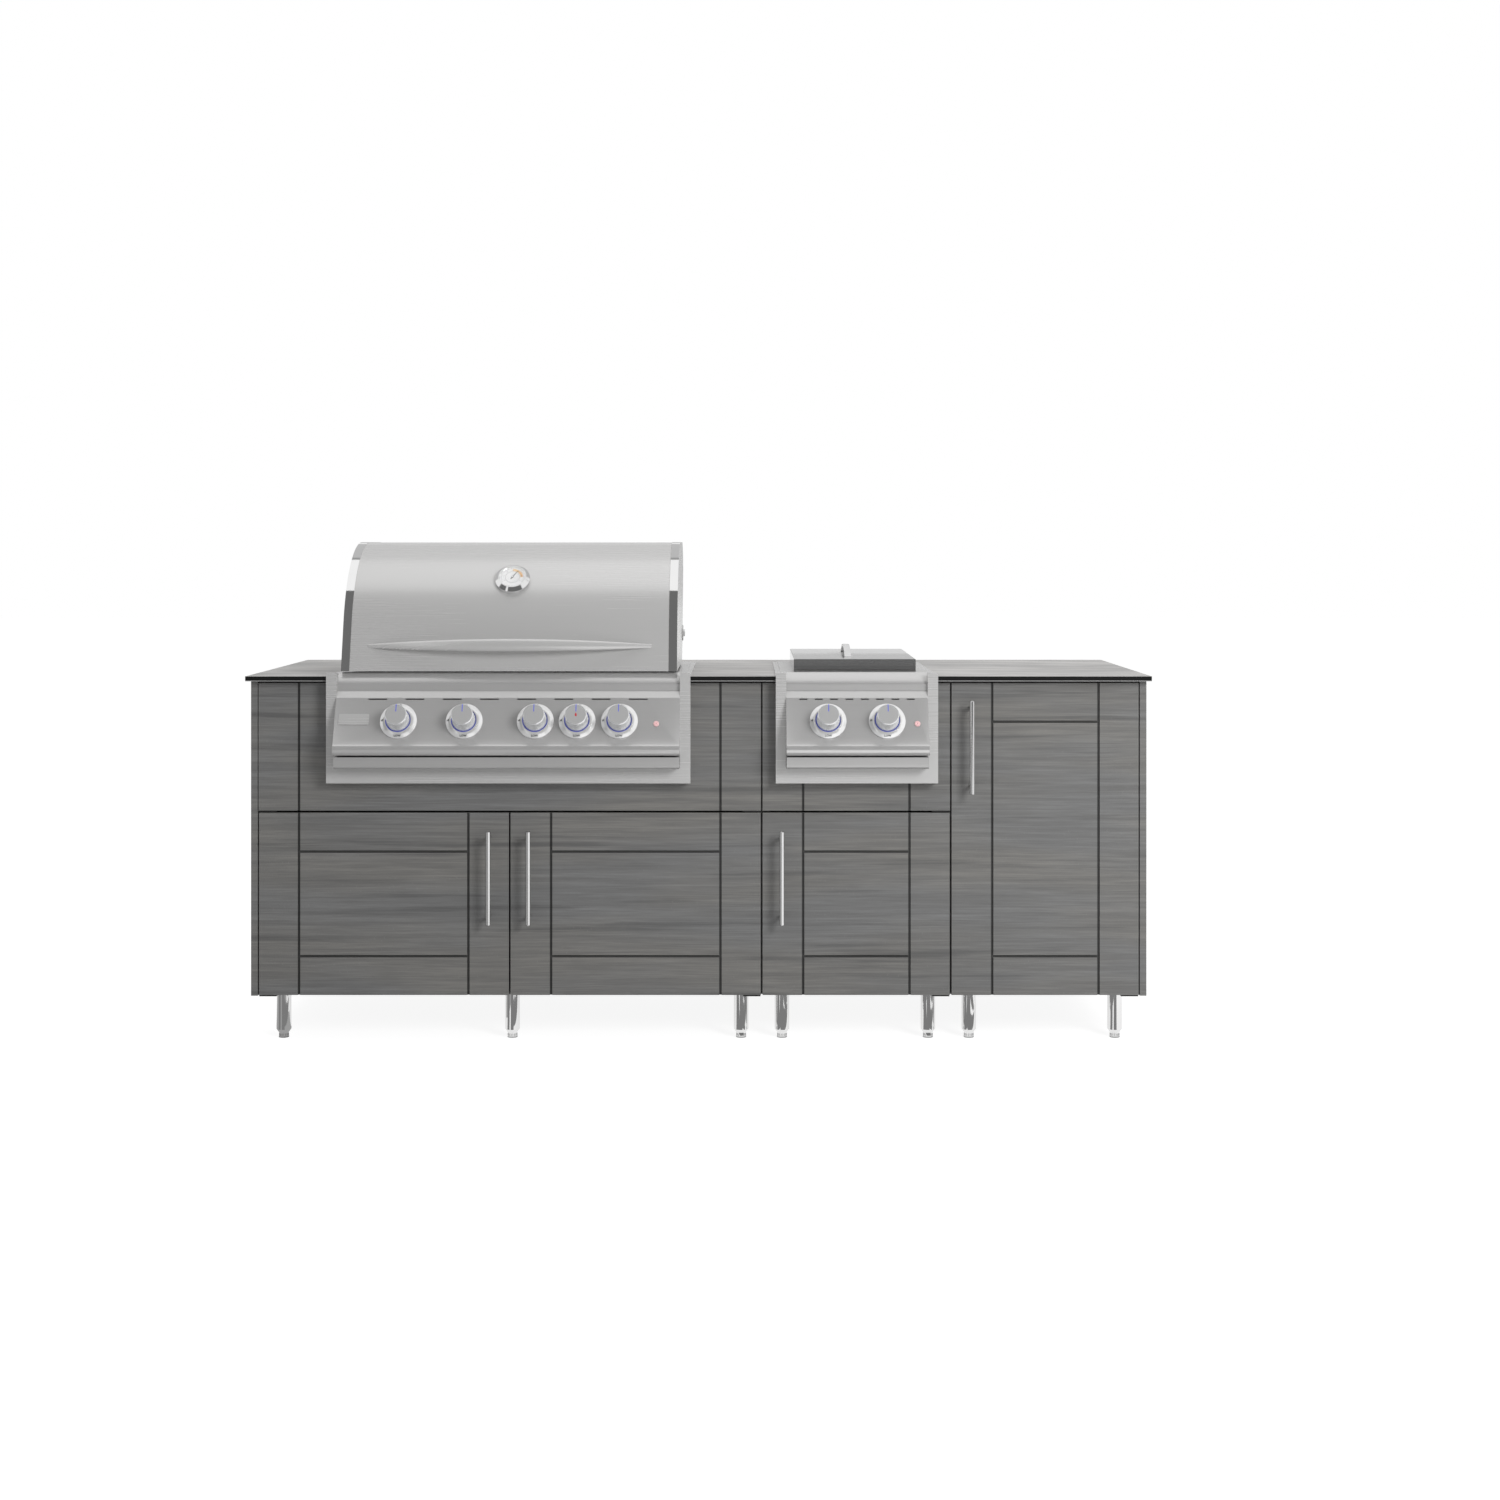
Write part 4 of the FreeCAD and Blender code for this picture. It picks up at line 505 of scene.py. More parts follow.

# %% [markdown]
# Smooth shading for the frame's own meshes.
# The imported meshes are loose triangles, so their round faces look cut. Their corners could be joined
# by hand, but those meshes have to stay as they are. Instead a Geometry Nodes modifier joins the
# corners that meet and smooths each edge whose faces nearly agree. It changes no shape.

# %% Smooth the frame


def recipe(name, inputs):
    """A Geometry Nodes tree with named inputs. Returns its board and a Link for each input."""
    tree = bpy.data.node_groups.new(name, "GeometryNodeTree")
    tree.is_modifier = True
    tree.interface.new_socket(name="Geometry", in_out="INPUT", socket_type="NodeSocketGeometry")
    tree.interface.new_socket(name="Geometry", in_out="OUTPUT", socket_type="NodeSocketGeometry")
    kinds = {float: "NodeSocketFloat", int: "NodeSocketInt"}
    for label, default in inputs.items():
        socket = tree.interface.new_socket(name=label, in_out="INPUT", socket_type=kinds[type(default)])
        socket.default_value = default
    board = Board(tree)
    entry = board.node("NodeGroupInput")
    return board, entry, [entry.out(label) for label in inputs]


def deliver(board, geometry):
    board.node("NodeGroupOutput", sockets={0: geometry}, output=None)


def smoothing_recipe():
    board, entry, links = recipe("smooth_near_edges", {"Join Distance": 0.00001, "Edge Angle": 0.6})
    join_distance, edge_angle = links
    joined = board.node("GeometryNodeMergeByDistance",
                        sockets={"Geometry": entry, "Distance": join_distance})
    smooth = board.node("GeometryNodeSetShadeSmooth", {"domain": "FACE"},
                        {"Geometry": joined, "Shade Smooth": True})
    angle = board.node("GeometryNodeInputMeshEdgeAngle")
    sharp = board.math("GREATER_THAN", angle, edge_angle)
    creased = board.node("GeometryNodeSetShadeSmooth", {"domain": "EDGE"},
                         {"Geometry": smooth, "Selection": sharp, "Shade Smooth": False})
    deliver(board, creased)
    return board.tree


smoothing = smoothing_recipe()


def dress(node, material):
    """Give a node of the frame its finish and smooth shading."""
    piece = frame["nodes"][node]
    piece.data.materials.clear()
    piece.data.materials.append(material)
    piece.modifiers.new("smooth", "NODES").node_group = smoothing


print("smoothing tree", smoothing.name)

# %% [markdown]
# Dress every node of the frame.
# A finish could be set node by node, but a list of nodes under each finish shows at a glance what
# shares a look, and a missing name is easy to see.

# %% Finishes by node
finishes = [
    (front_board, ["left_door", "center_door", "burner_door", "storage_door", "grill_cabinet_front",
                   "burner_cabinet_front"]),
    (plain_board, ["end_panels", "grill_cabinet_box", "burner_cabinet_box", "storage_cabinet_box",
                   "storage_shelf"]),
    (worktop_finish, ["countertop"]),
    (sheet_steel, ["grill_jacket", "burner_jacket", "hood_shell", "hood_handle", "hood_liner",
                   "grill_firebox", "burner_pan"]),
    (panel_steel, ["grill_control_panel", "burner_control_panel"]),
    (tray_steel, ["grill_drip_tray", "burner_drip_tray"]),
    (lid_steel, ["burner_lid"]),
    (band_steel, ["hood_trim"]),
    (bright_steel, ["left_door_handle", "center_door_handle", "burner_door_handle", "storage_door_handle"]),
    (leg_steel, ["leg_tubes", "levelling_feet"]),
    (bezel_steel, ["knob_bezels", "hood_pivot_pins"]),
    (chrome_steel, ["thermometer_case"]),
    (plate_finish, ["grill_gas_manifold", "burner_gas_manifold", "warming_rack", "cooking_grates"]
     + [name.replace("knob", "plunger") for name in knob_names]),
    (burner_finish, ["grill_burners", "flame_tamers"]),
    (iron_finish, ["burner_heads", "burner_grate"]),
    (knob_finish, knob_names),
    (button_finish, ["grill_light_button", "burner_light_button"]),
    (black_paint, ["thermometer_needle", "door_pivot_brackets"]),
]
for material, nodes in finishes:
    for node in nodes:
        dress(node, material)
undressed = set(frame["nodes"]) - {node for material, nodes in finishes for node in nodes}
print("nodes without a finish:", sorted(undressed))

# %% [markdown]
# Seats and simple shapes.
# Small printed and lit pieces are made flat in the axes of a seat, such as the control face under
# a knob or the thermometer's dial, and then stood in place. They could be modelled where they sit,
# but on a sloping face that makes every number awkward. The joints of the record say exactly where
# the seats are.

# %% Seats and shapes
joints = {joint["name"]: joint for joint in frame["joints"]}
in_place = Matrix.Identity(4)
sharp_angle = math.radians(35)


def joint_seat(name):
    """X to the right, Z along the joint's axis, at the joint's place."""
    axis = Vector(joints[name]["axis"]).normalized()
    return frame_at(Vector(joints[name]["pos_m"]), right, axis)


def turned(profile, sides=64, closed=False):
    """A mesh turned round Z from (radius, height) points, outward where the profile goes up."""
    build = bmesh.new()
    turns = [2 * math.pi * i / sides for i in range(sides)]
    rings = []
    for radius, height in profile:
        if radius == 0:
            rings.append([build.verts.new((0, 0, height))] * sides)
        else:
            rings.append([build.verts.new((radius * math.cos(t), radius * math.sin(t), height))
                          for t in turns])
    for first, second in zip(rings, rings[1:] + (rings[:1] if closed else [])):
        for i in range(sides):
            j = (i + 1) % sides
            build.faces.new(list(dict.fromkeys((first[i], first[j], second[j], second[i]))))
    return finished(build, True)


def disc(radius, low, high, sides=64):
    return turned([(0, low), (radius, low), (radius, high), (0, high)], sides)


def ring(inner, outer, low, high, sides=64):
    return turned([(inner, low), (outer, low), (outer, high), (inner, high)], sides, closed=True)


def plate(outline, low, high):
    """A flat piece with straight sides from a counter-clockwise (x, y) outline."""
    build = bmesh.new()
    bottom = [build.verts.new((x, y, low)) for x, y in outline]
    top = [build.verts.new((x, y, high)) for x, y in outline]
    build.faces.new(top)
    build.faces.new(bottom[::-1])
    count = len(outline)
    for i in range(count):
        j = (i + 1) % count
        build.faces.new((bottom[i], bottom[j], top[j], top[i]))
    return finished(build, False)


def bar(width, length, low, high, centre_x=0.0, centre_y=0.0):
    x0, x1 = centre_x - width / 2, centre_x + width / 2
    y0, y1 = centre_y - length / 2, centre_y + length / 2
    return plate([(x0, y0), (x1, y0), (x1, y1), (x0, y1)], low, high)


def finished(build, smooth):
    mesh = bpy.data.meshes.new("shape")
    build.to_mesh(mesh)
    build.free()
    if smooth:
        mesh.shade_smooth()
        mesh.set_sharp_from_angle(angle=sharp_angle)
    return mesh


print("seats from joints:", len(joints))

# %% [markdown]
# Words, merging and placing.
# Words start as a text curve, which Blender's own font fills, and become a mesh before they are
# placed. A piece keeps its own x and y as a UV map, so that a finish can draw circles round the
# seat after the piece has been turned. Then it rides on the body that carries it.

# %% Placing pieces


def lettering(words, size, thickness, weight=0.0):
    """Words as a mesh, with strokes made wider by weight on each side."""
    curve = bpy.data.curves.new(words, "FONT")
    curve.body = words
    curve.size = size
    curve.offset = weight
    curve.extrude = thickness / 2
    curve.align_x = "CENTER"
    curve.align_y = "CENTER"
    curve.resolution_u = 2
    holder = bpy.data.objects.new(words, curve)
    mesh = bpy.data.meshes.new_from_object(holder)
    bpy.data.objects.remove(holder)
    return mesh


def merged(parts):
    """One mesh from (mesh, matrix) pairs."""
    build = bmesh.new()
    for mesh, matrix in parts:
        moved = mesh.copy()
        moved.transform(matrix)
        build.from_mesh(moved)
    return finished(build, False)


def put(name, mesh, seat, material, body):
    """Keep the mesh's own x and y as a flat map, stand it on its seat and let it ride on a body."""
    flat = mesh.uv_layers.new(name="flat")
    for loop in mesh.loops:
        flat.data[loop.index].uv = mesh.vertices[loop.vertex_index].co.xy
    mesh.transform(seat)
    mesh.name = name
    mesh.materials.clear()
    mesh.materials.append(material)
    piece = bpy.data.objects.new(name, mesh)
    bpy.context.scene.collection.objects.link(piece)
    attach(piece, body)
    return piece


print("placing ready")

# %% [markdown]
# The section of a control panel.
# Each panel is one folded sheet: a round roll on top, a short waist, a hollow that sweeps out to the
# crease, the sloping face and a rounded nose. It could be bent from a flat mesh, but a fold is
# easiest to get right as a line of points in the side view, with a curve for the roll.

# %% Panel section
panel_sheet = 2 * mm
panel_back = 8 * mm
roll_start = (-2 * mm, 0)
roll_shoulder = (-5 * mm, -2 * mm)
roll_cheek = (-21.5 * mm, -20.5 * mm)
roll_end = (-24 * mm, -27 * mm)
waist_end = 42 * mm
hollow_radius = 5 * mm
hollow_sweep = math.radians(45)
crease_y = -37 * mm
crease_drop = 60 * mm
face_length = 118 * mm
nose_depth = 6.5 * mm
nose_height = 27 * mm
roll_tail = 1.5 * mm
hollow_lead = 1.0 * mm
roll_steps = 20
hollow_steps = 6
soft_bend = 0.06


def arc_through(start, through, end, steps=12):
    """Points after start on the short arc through three points."""
    a, b, c = complex(*start), complex(*through), complex(*end)
    ratio = (c - a) / (b - a)
    centre = a - (a - b) * (ratio - abs(ratio) ** 2) / 2j / ratio.imag
    turn = cmath.phase((c - centre) / (a - centre))
    points = [centre + (a - centre) * cmath.exp(1j * turn * i / steps) for i in range(1, steps + 1)]
    return [(point.real, point.imag) for point in points]


def panel_line(height):
    """The front of the section from the top back to the bottom back, as (y, z) under the top."""
    line = [(panel_back, 0)]
    curve = interpolate_bezier(roll_start, roll_shoulder, roll_cheek, roll_end, roll_steps)
    line += [(point.x, point.y) for point in curve]
    waist_y = roll_end[0]
    line += [(waist_y, roll_end[1] - roll_tail), (waist_y, hollow_lead - waist_end)]
    for i in range(hollow_steps + 1):
        turn = hollow_sweep * i / hollow_steps
        line.append((waist_y - hollow_radius * (1 - math.cos(turn)),
                     -waist_end - hollow_radius * math.sin(turn)))
    hollow_end = line[-1]
    for share in (soft_bend, 1 - soft_bend, 1.0):
        line.append((hollow_end[0] + (crease_y - hollow_end[0]) * share,
                     hollow_end[1] + (-crease_drop - hollow_end[1]) * share))
    face_end = (crease_y - face_length * math.sin(face_tilt),
                -crease_drop - face_length * math.cos(face_tilt))
    nose_front = (face_end[0] - nose_depth, nose_height / 2 - height)
    nose_under = (face_end[0] + nose_depth / 2, -height)
    line.append(face_end)
    return line + arc_through(face_end, nose_front, nose_under) + [(panel_back, -height)]


def moved_in(line):
    """The same line one sheet further in."""
    inner = []
    for i, (y, z) in enumerate(line):
        before = Vector(line[max(i - 1, 0)])
        after = Vector(line[min(i + 1, len(line) - 1)])
        along = (after - before).normalized()
        inner.append((y - along.y * panel_sheet, z + along.x * panel_sheet))
    return inner


panel_low, panel_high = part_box("grill_control_panel")
print("panel section points", len(panel_line(panel_high.z - panel_low.z)))

# %% [markdown]
# Folded panels with their slots and bores.
# The section runs along X between two end plates. Slots under the crease let the air in, and bores
# let the knobs' stems and the lamp buttons through. They could be left out of the section, but they
# cross the sloping face, so a Boolean cuts them all at once. The sheet takes the place of the
# frame's plainer panel. A bare plate with round corners sits left of the grill's knobs.

# %% Control panels
slot_count = 8
slot_height = 3 * mm
slot_down_face = 3 * mm
knob_down_face = 60 * mm
button_down_face = 66 * mm
bore_radius = 6 * mm
button_bore = 7 * mm
cut_depth = 6 * mm
plate_width = 73 * mm
plate_height = 27 * mm
plate_thickness = 1.2 * mm
plate_corner = 3 * mm
plate_from_knob = 107.6 * mm
plate_down_face = 54.5 * mm
fold_angle = math.radians(28)


def cut(mesh, cutter):
    """The mesh with the cutter taken away."""
    carrier = bpy.data.objects.new("carrier", mesh)
    tool = bpy.data.objects.new("tool", cutter)
    for item in (carrier, tool):
        bpy.context.scene.collection.objects.link(item)
    modifier = carrier.modifiers.new("cut", "BOOLEAN")
    modifier.operation = "DIFFERENCE"
    modifier.object = tool
    settled = carrier.evaluated_get(bpy.context.evaluated_depsgraph_get())
    made = bpy.data.meshes.new_from_object(settled)
    bpy.data.objects.remove(carrier)
    bpy.data.objects.remove(tool)
    return made


def face_seat(place_x, top_z, down):
    """X to the right and Z out of the sloping face, this far down from the crease."""
    crease = Vector((place_x, door_face_y + crease_y, top_z - crease_drop))
    return frame_at(crease - face_up * down, right, face_out)


def panel_cutter(label, low, high, slot_length, slot_inset):
    pitch = (high.x - low.x - 2 * slot_inset - slot_length) / (slot_count - 1)
    slot = bar(slot_length, slot_height, -cut_depth, cut_depth)
    bore = disc(bore_radius, -cut_depth, cut_depth)
    wide = disc(button_bore, -cut_depth, cut_depth)
    cuts = []
    for i in range(slot_count):
        x = low.x + slot_inset + slot_length / 2 + i * pitch
        cuts.append((slot, face_seat(x, high.z, slot_down_face)))
    for name in knob_names:
        if name.startswith(label):
            cuts.append((bore, face_seat(middle(name).x, high.z, knob_down_face)))
    cuts.append((wide, face_seat(middle(label + "_light_button").x, high.z, button_down_face)))
    return merged(cuts)


def fold_panel(label, slot_length, slot_inset):
    low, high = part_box(label + "_control_panel")
    line = panel_line(high.z - low.z)
    seat = frame_at(Vector((0, door_face_y, high.z)), backward, right)
    shell = plate(line + moved_in(line)[::-1], low.x + panel_sheet, high.x - panel_sheet)
    shell.transform(seat)
    shell = cut(shell, panel_cutter(label, low, high, slot_length, slot_inset))
    mesh = merged([(shell, in_place), (plate(line, low.x, low.x + panel_sheet), seat),
                   (plate(line, high.x - panel_sheet, high.x), seat)])
    mesh.shade_smooth()
    mesh.set_sharp_from_angle(angle=fold_angle)
    piece = put(label + "_panel_sheet", mesh, in_place, panel_steel, "island")
    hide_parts(label + "_control_panel")
    return len(mesh.polygons)


def rounded_outline(width, height, corner, steps=5):
    outline = []
    for quarter, (side_x, side_y) in enumerate(((1, 1), (-1, 1), (-1, -1), (1, -1))):
        for i in range(steps + 1):
            t = math.pi / 2 * (quarter + i / steps)
            outline.append((side_x * (width / 2 - corner) + corner * math.cos(t),
                            side_y * (height / 2 - corner) + corner * math.sin(t)))
    return outline


faces = fold_panel("grill", slot_length=45 * mm, slot_inset=77.3 * mm)
faces += fold_panel("burner", slot_length=19 * mm, slot_inset=31.7 * mm)
plate_x = middle("grill_knob_1").x - plate_from_knob
plate_seat = face_seat(plate_x, panel_high.z, plate_down_face)
blank = plate(rounded_outline(plate_width, plate_height, plate_corner), 0, plate_thickness)
put("panel_plate", blank, plate_seat, sheet_steel, "island")
print("panel faces", faces)

# %% [markdown]
# Knobs and their lights.
# Each knob gets a disc with circular brushing and a coloured index line on its cap. A lit ring sits
# in the bezel just round the knob's foot. The bezels carry plain dial words, and one knob has a
# small flame on it, the usual mark for the rear burner. Materials could paint all this, but thin
# pieces of their own keep a sharp edge. Their sizes come first, with heights along the knob's axis.

# %% Knob sizes
knob_lift = 7 * mm
knob_length = 43 * mm
bezel_radius = 44 * mm
bezel_rim_height = 4 * mm
bezel_height = 11 * mm
bezel_lip_radius = 33 * mm
cap_disc_radius = 23.5 * mm
cap_front = knob_lift + knob_length
print_thickness = 0.12 * mm
index_width = 1.9 * mm
index_start = 7 * mm
index_end = 25.2 * mm
ring_inner = 28.6 * mm
ring_outer = 30.9 * mm
ring_shift = Vector((-1.3, -0.9, 0)) * mm
ring_low = 8.0 * mm
ring_high = 10.4 * mm
word_height = 7.0 * mm
word_weight = 0.28 * mm
bezel_run = bezel_radius - bezel_lip_radius
bezel_rise = bezel_height - bezel_rim_height
bezel_slope = math.atan2(bezel_rise, bezel_run)
word_places = {"OFF": 90, "HI": 180, "LOW": 270}
flame_width = 3.4 * mm
flame_height = 5.0 * mm
print("bezel slope in degrees", round(math.degrees(bezel_slope), 1))

# %% [markdown]
# Pieces on the caps and bezels.
# What is on a cap rides on its knob and turns with it, while the lit ring and the words stay on the
# island. The words could lie flat over the bezel, but it slopes, so each one is tipped to the slope
# and kept upright, as print on a real bezel is. The flame's outline is a formula.

# %% Knobs


def word_on_bezel(words, degrees):
    """Words that stay upright on the sloping face of the bezel."""
    turn = math.radians(degrees)
    away = Vector((math.cos(turn), math.sin(turn), 0))
    normal = away * math.sin(bezel_slope) + Vector((0, 0, math.cos(bezel_slope)))
    upright = Vector((0, 1, 0))
    across = (upright - normal * upright.dot(normal)).normalized().cross(normal)
    place = away * (bezel_lip_radius + bezel_radius) / 2
    place += Vector((0, 0, (bezel_rim_height + bezel_height) / 2)) + normal * print_thickness / 2
    return lettering(words, word_height, print_thickness, word_weight), frame_at(place, across, normal)


def light_ring():
    """A lit ring, wider at the lower left, where more of its light falls on the bezel."""
    lit = ring(ring_inner, ring_outer, ring_low, ring_high)
    for corner in lit.vertices:
        if corner.co.xy.length > (ring_inner + ring_outer) / 2:
            corner.co += ring_shift
    return lit


def flame_outline(points=24):
    outline = []
    for i in range(points):
        t = 2 * math.pi * i / points
        outline.append((-flame_width * math.sin(t) * math.sin(t / 2) ** 1.4, flame_height * math.cos(t)))
    return outline


for name in knob_names:
    seat = joint_seat(name.replace("knob", "turn"))
    cap = disc(cap_disc_radius, cap_front, cap_front + print_thickness)
    put(name + "_cap", cap, seat, cap_finish, name)
    index = bar(index_width, index_end - index_start, cap_front, cap_front + 2 * print_thickness,
                centre_y=(index_start + index_end) / 2)
    put(name + "_index", index, seat, index_light, name)
    put(name + "_light_ring", light_ring(), seat, blue_light, "island")
    words = merged([word_on_bezel(word, degrees) for word, degrees in word_places.items()])
    put(name + "_words", words, seat, black_ink, "island")
flame = plate(flame_outline(), cap_front + print_thickness, cap_front + 2 * print_thickness)
put("rear_burner_mark", flame, joint_seat("grill_turn_4"), red_ink, "grill_knob_4")
print("knob pieces", len(knob_names) * 4 + 1)

# %% [markdown]
# Lamp buttons.
# A thin ring and a small lamp sign are printed on the front of each lamp button. Text has no such
# sign, so it is put together from a turned ring, a turned dot for the glass and a bar for its cap.

# %% Lamp buttons
button_rise = 3 * mm
sign_inner = 4.3 * mm
sign_outer = 5.0 * mm
bulb_radius = 1.5 * mm
bulb_lift = 0.6 * mm
bulb_cap_width = 1.4 * mm
bulb_cap_length = 1.6 * mm
bulb_cap_drop = 1.9 * mm


def lamp_sign():
    circle = ring(sign_inner, sign_outer, 0, print_thickness, sides=40)
    bulb = disc(bulb_radius, 0, print_thickness, sides=20)
    cap = bar(bulb_cap_width, bulb_cap_length, 0, print_thickness)
    lift = Matrix.Translation((0, 0, button_rise))
    return merged([(circle, lift), (bulb, lift @ Matrix.Translation((0, bulb_lift, 0))),
                   (cap, lift @ Matrix.Translation((0, -bulb_cap_drop, 0)))])


for label in ("grill", "burner"):
    button = label + "_light_button"
    place = Vector(joints[label + "_turn_1"]["pos_m"])
    place.x = middle(button).x
    seat = frame_at(place - face_up * (button_down_face - knob_down_face), right, face_out)
    put(button + "_sign", lamp_sign(), seat, sign_ink, button)
print("lamp signs ready")

# %% [markdown]
# The thermometer's dial.
# One disc carries the whole dial: white, with a thin grey circle and an amber arc from twelve to
# three o'clock. Rings and sectors could be pieces of their own, but as they lie in one plane the
# finish draws them, from the disc's own x and y.

# %% Dial finish
arc_inner = 19.5 * mm
arc_outer = 25.5 * mm
circle_radius = 17.5 * mm
circle_width = 0.8 * mm
soft_edge = 0.3 * mm


def dial_finish():
    finish = Finish("thermometer_dial")
    x, y, z = finish.flat()
    radius = finish.math("SQRT", x * x + y * y)
    off_circle = finish.math("ABSOLUTE", radius - circle_radius)
    circle = 1 - finish.between(off_circle, circle_width * 0.5, circle_width)
    inside = finish.between(radius, arc_inner - soft_edge, arc_inner + soft_edge)
    outside = 1 - finish.between(radius, arc_outer - soft_edge, arc_outer + soft_edge)
    quarter = finish.between(x, -soft_edge, soft_edge) * finish.between(y, -soft_edge, soft_edge)
    turn = finish.math("ARCTAN2", y, x) / (math.pi / 2)
    amber = finish.mix(turn, (0.62, 0.33, 0.10, 1), (0.80, 0.56, 0.26, 1))
    paper = finish.noise(finish.point(x * 900.0, y * 900.0, 0.0), 2.0)
    white = finish.mix(paper, grey(0.72, 0.0), grey(0.80, 0.0))
    tone = finish.mix(circle * 0.7, white, grey(0.30))
    tone = finish.mix(inside * outside * quarter, tone, amber)
    return finish.surface(Base_Color=tone, Roughness=0.45)


dial_paper = dial_finish()
print("dial finish", dial_paper.name)

# %% [markdown]
# Bars on a circle.
# The marks of a scale repeat round a circle, and so do the ribs of a knurled foot. They could be
# copied by hand, but one Geometry Nodes tree with the number, the circle and the size of the bars
# as its inputs makes both. It is run once on an empty mesh, and what it made is kept as a plain one.

# %% Bars on a circle


def deliver_solid(board, geometry, material):
    """Real geometry with its material, because the export drops instances."""
    real = board.node("GeometryNodeRealizeInstances", sockets={"Geometry": geometry})
    deliver(board, board.node("GeometryNodeSetMaterial", sockets={"Geometry": real, "Material": material}))


def circle_recipe(material):
    """Bars on a circle, the first at the start angle, clockwise from twelve o'clock."""
    inputs = {"Bars": 29, "Radius": 0.0275, "Start": -120.0, "Sweep": 240.0, "Length": 0.003,
              "Width": 0.0005, "Height": 0.00012}
    board, entry, links = recipe("bars_on_circle_" + material.name, inputs)
    bars, radius, start, sweep, length, width, height = links
    step = board.node("GeometryNodeInputIndex") / (bars - 1)
    turn = (start + step * sweep) * math.radians(1)
    place = board.point(board.math("SINE", turn) * radius, board.math("COSINE", turn) * radius, height * 0.5)
    points = board.node("GeometryNodePoints", sockets={"Count": bars, "Position": place})
    size = board.point(width, length, height)
    block = board.node("GeometryNodeMeshCube", sockets={"Size": size})
    spots = board.node("GeometryNodeInstanceOnPoints", sockets={
        "Points": points, "Instance": block, "Rotation": board.point(0.0, 0.0, turn * -1.0)})
    deliver_solid(board, spots, material)
    return board.tree


def grown(tree, values, base=None):
    """Run a tree once on a mesh and return what it made as a plain mesh."""
    carrier = bpy.data.objects.new("carrier", base or bpy.data.meshes.new("empty"))
    bpy.context.scene.collection.objects.link(carrier)
    modifier = carrier.modifiers.new("grow", "NODES")
    modifier.node_group = tree
    for item in tree.interface.items_tree:
        if item.in_out == "INPUT" and item.name in values:
            modifier[item.identifier] = values[item.name]
    settled = carrier.evaluated_get(bpy.context.evaluated_depsgraph_get())
    mesh = bpy.data.meshes.new_from_object(settled)
    bpy.data.objects.remove(carrier)
    return mesh


marks_tree = circle_recipe(black_ink)
print("inputs of the tree:", [item.name for item in marks_tree.interface.items_tree])

# %% [markdown]
# The thermometer.
# A flat glass covers the dial, its scale and its numbers. They could all be one decal, but real
# marks keep sharp edges when the camera comes near. Each layer lies a print's thickness above the
# one below, so that no two faces share a plane.

# %% Thermometer
dial_height = 12.0 * mm
dial_radius = 31.0 * mm
glass_height = 14.62 * mm
scale_radius = 27.5 * mm
scale_start = -120.0
scale_sweep = 240.0
scale_marks = 29
mark_length = 3.0 * mm
mark_width = 0.6 * mm
number_radius = 21.5 * mm
number_size = 5.0 * mm
last_number = 7
gauge_seat = joint_seat("needle_turn")
dial = disc(dial_radius, dial_height, dial_height + print_thickness)
put("thermometer_dial", dial, gauge_seat, dial_paper, "hood")
scale_values = {"Bars": scale_marks, "Radius": scale_radius, "Start": scale_start, "Sweep": scale_sweep,
                "Length": mark_length, "Width": mark_width, "Height": print_thickness}
marks = grown(marks_tree, scale_values)
marks.transform(Matrix.Translation((0, 0, dial_height + print_thickness)))
put("thermometer_scale", marks, gauge_seat, black_ink, "hood")
numbers = []
for number in range(1, last_number + 1):
    turn = math.radians(scale_start + scale_sweep * (number - 1) / (last_number - 1))
    place = Vector((math.sin(turn), math.cos(turn), 0)) * number_radius
    place.z = dial_height + 1.5 * print_thickness
    numbers.append((lettering(str(number), number_size, print_thickness), Matrix.Translation(place)))
put("thermometer_numbers", merged(numbers), gauge_seat, black_ink, "hood")
glass = disc(dial_radius, glass_height, glass_height + print_thickness)
put("thermometer_glass", glass, gauge_seat, clear_glass, "hood")
print("thermometer marks", scale_marks)

# %% [markdown]
# Round studs.
# Screw heads, burner ports and shelf holes are all small and round, and there are hundreds of them.
# Copies of one object would do, but one Geometry Nodes tree is shorter: it sets a low cone on every
# point of a carrier mesh and turns it to the direction kept in that point.

# %% Studs


def studs_recipe(material):
    inputs = {"Sides": 16, "Radius": 0.004, "Top Radius": 0.003, "Height": 0.0015}
    board, entry, links = recipe("studs_" + material.name, inputs)
    sides, radius, top_radius, height = links
    cone = board.node("GeometryNodeMeshCone", sockets={
        "Vertices": sides, "Radius Top": top_radius, "Radius Bottom": radius, "Depth": height},
                      output="Mesh")
    direction = board.node("GeometryNodeInputNamedAttribute", {"data_type": "FLOAT_VECTOR"},
                           {"Name": "out"}, "Attribute")
    turn = board.node("FunctionNodeAlignRotationToVector", {"axis": "Z"}, {"Vector": direction})
    spots = board.node("GeometryNodeInstanceOnPoints", sockets={
        "Points": entry, "Instance": cone, "Rotation": turn})
    deliver_solid(board, spots, material)
    return board.tree


def studs(name, spots, sides, radius, top_radius, height, material, body):
    """spots are (place, direction) pairs."""
    base = bpy.data.meshes.new(name)
    base.from_pydata([place for place, direction in spots], [], [])
    kept = base.attributes.new("out", "FLOAT_VECTOR", "POINT")
    for index, (place, direction) in enumerate(spots):
        kept.data[index].vector = direction
    tree = studs_recipe(material)
    made = grown(tree, {"Sides": sides, "Radius": radius, "Top Radius": top_radius, "Height": height}, base)
    put(name, made, in_place, material, body)
    return len(spots)


print("studs ready")

# %% [markdown]
# Cabinet screws.
# Screws hold the back boards to the cabinets' edges, about a hand apart, and four more hold the
# plate on top of each leg. Their places could be listed, but the cabinets' boxes give them, so a
# row has as many screws as its length needs.

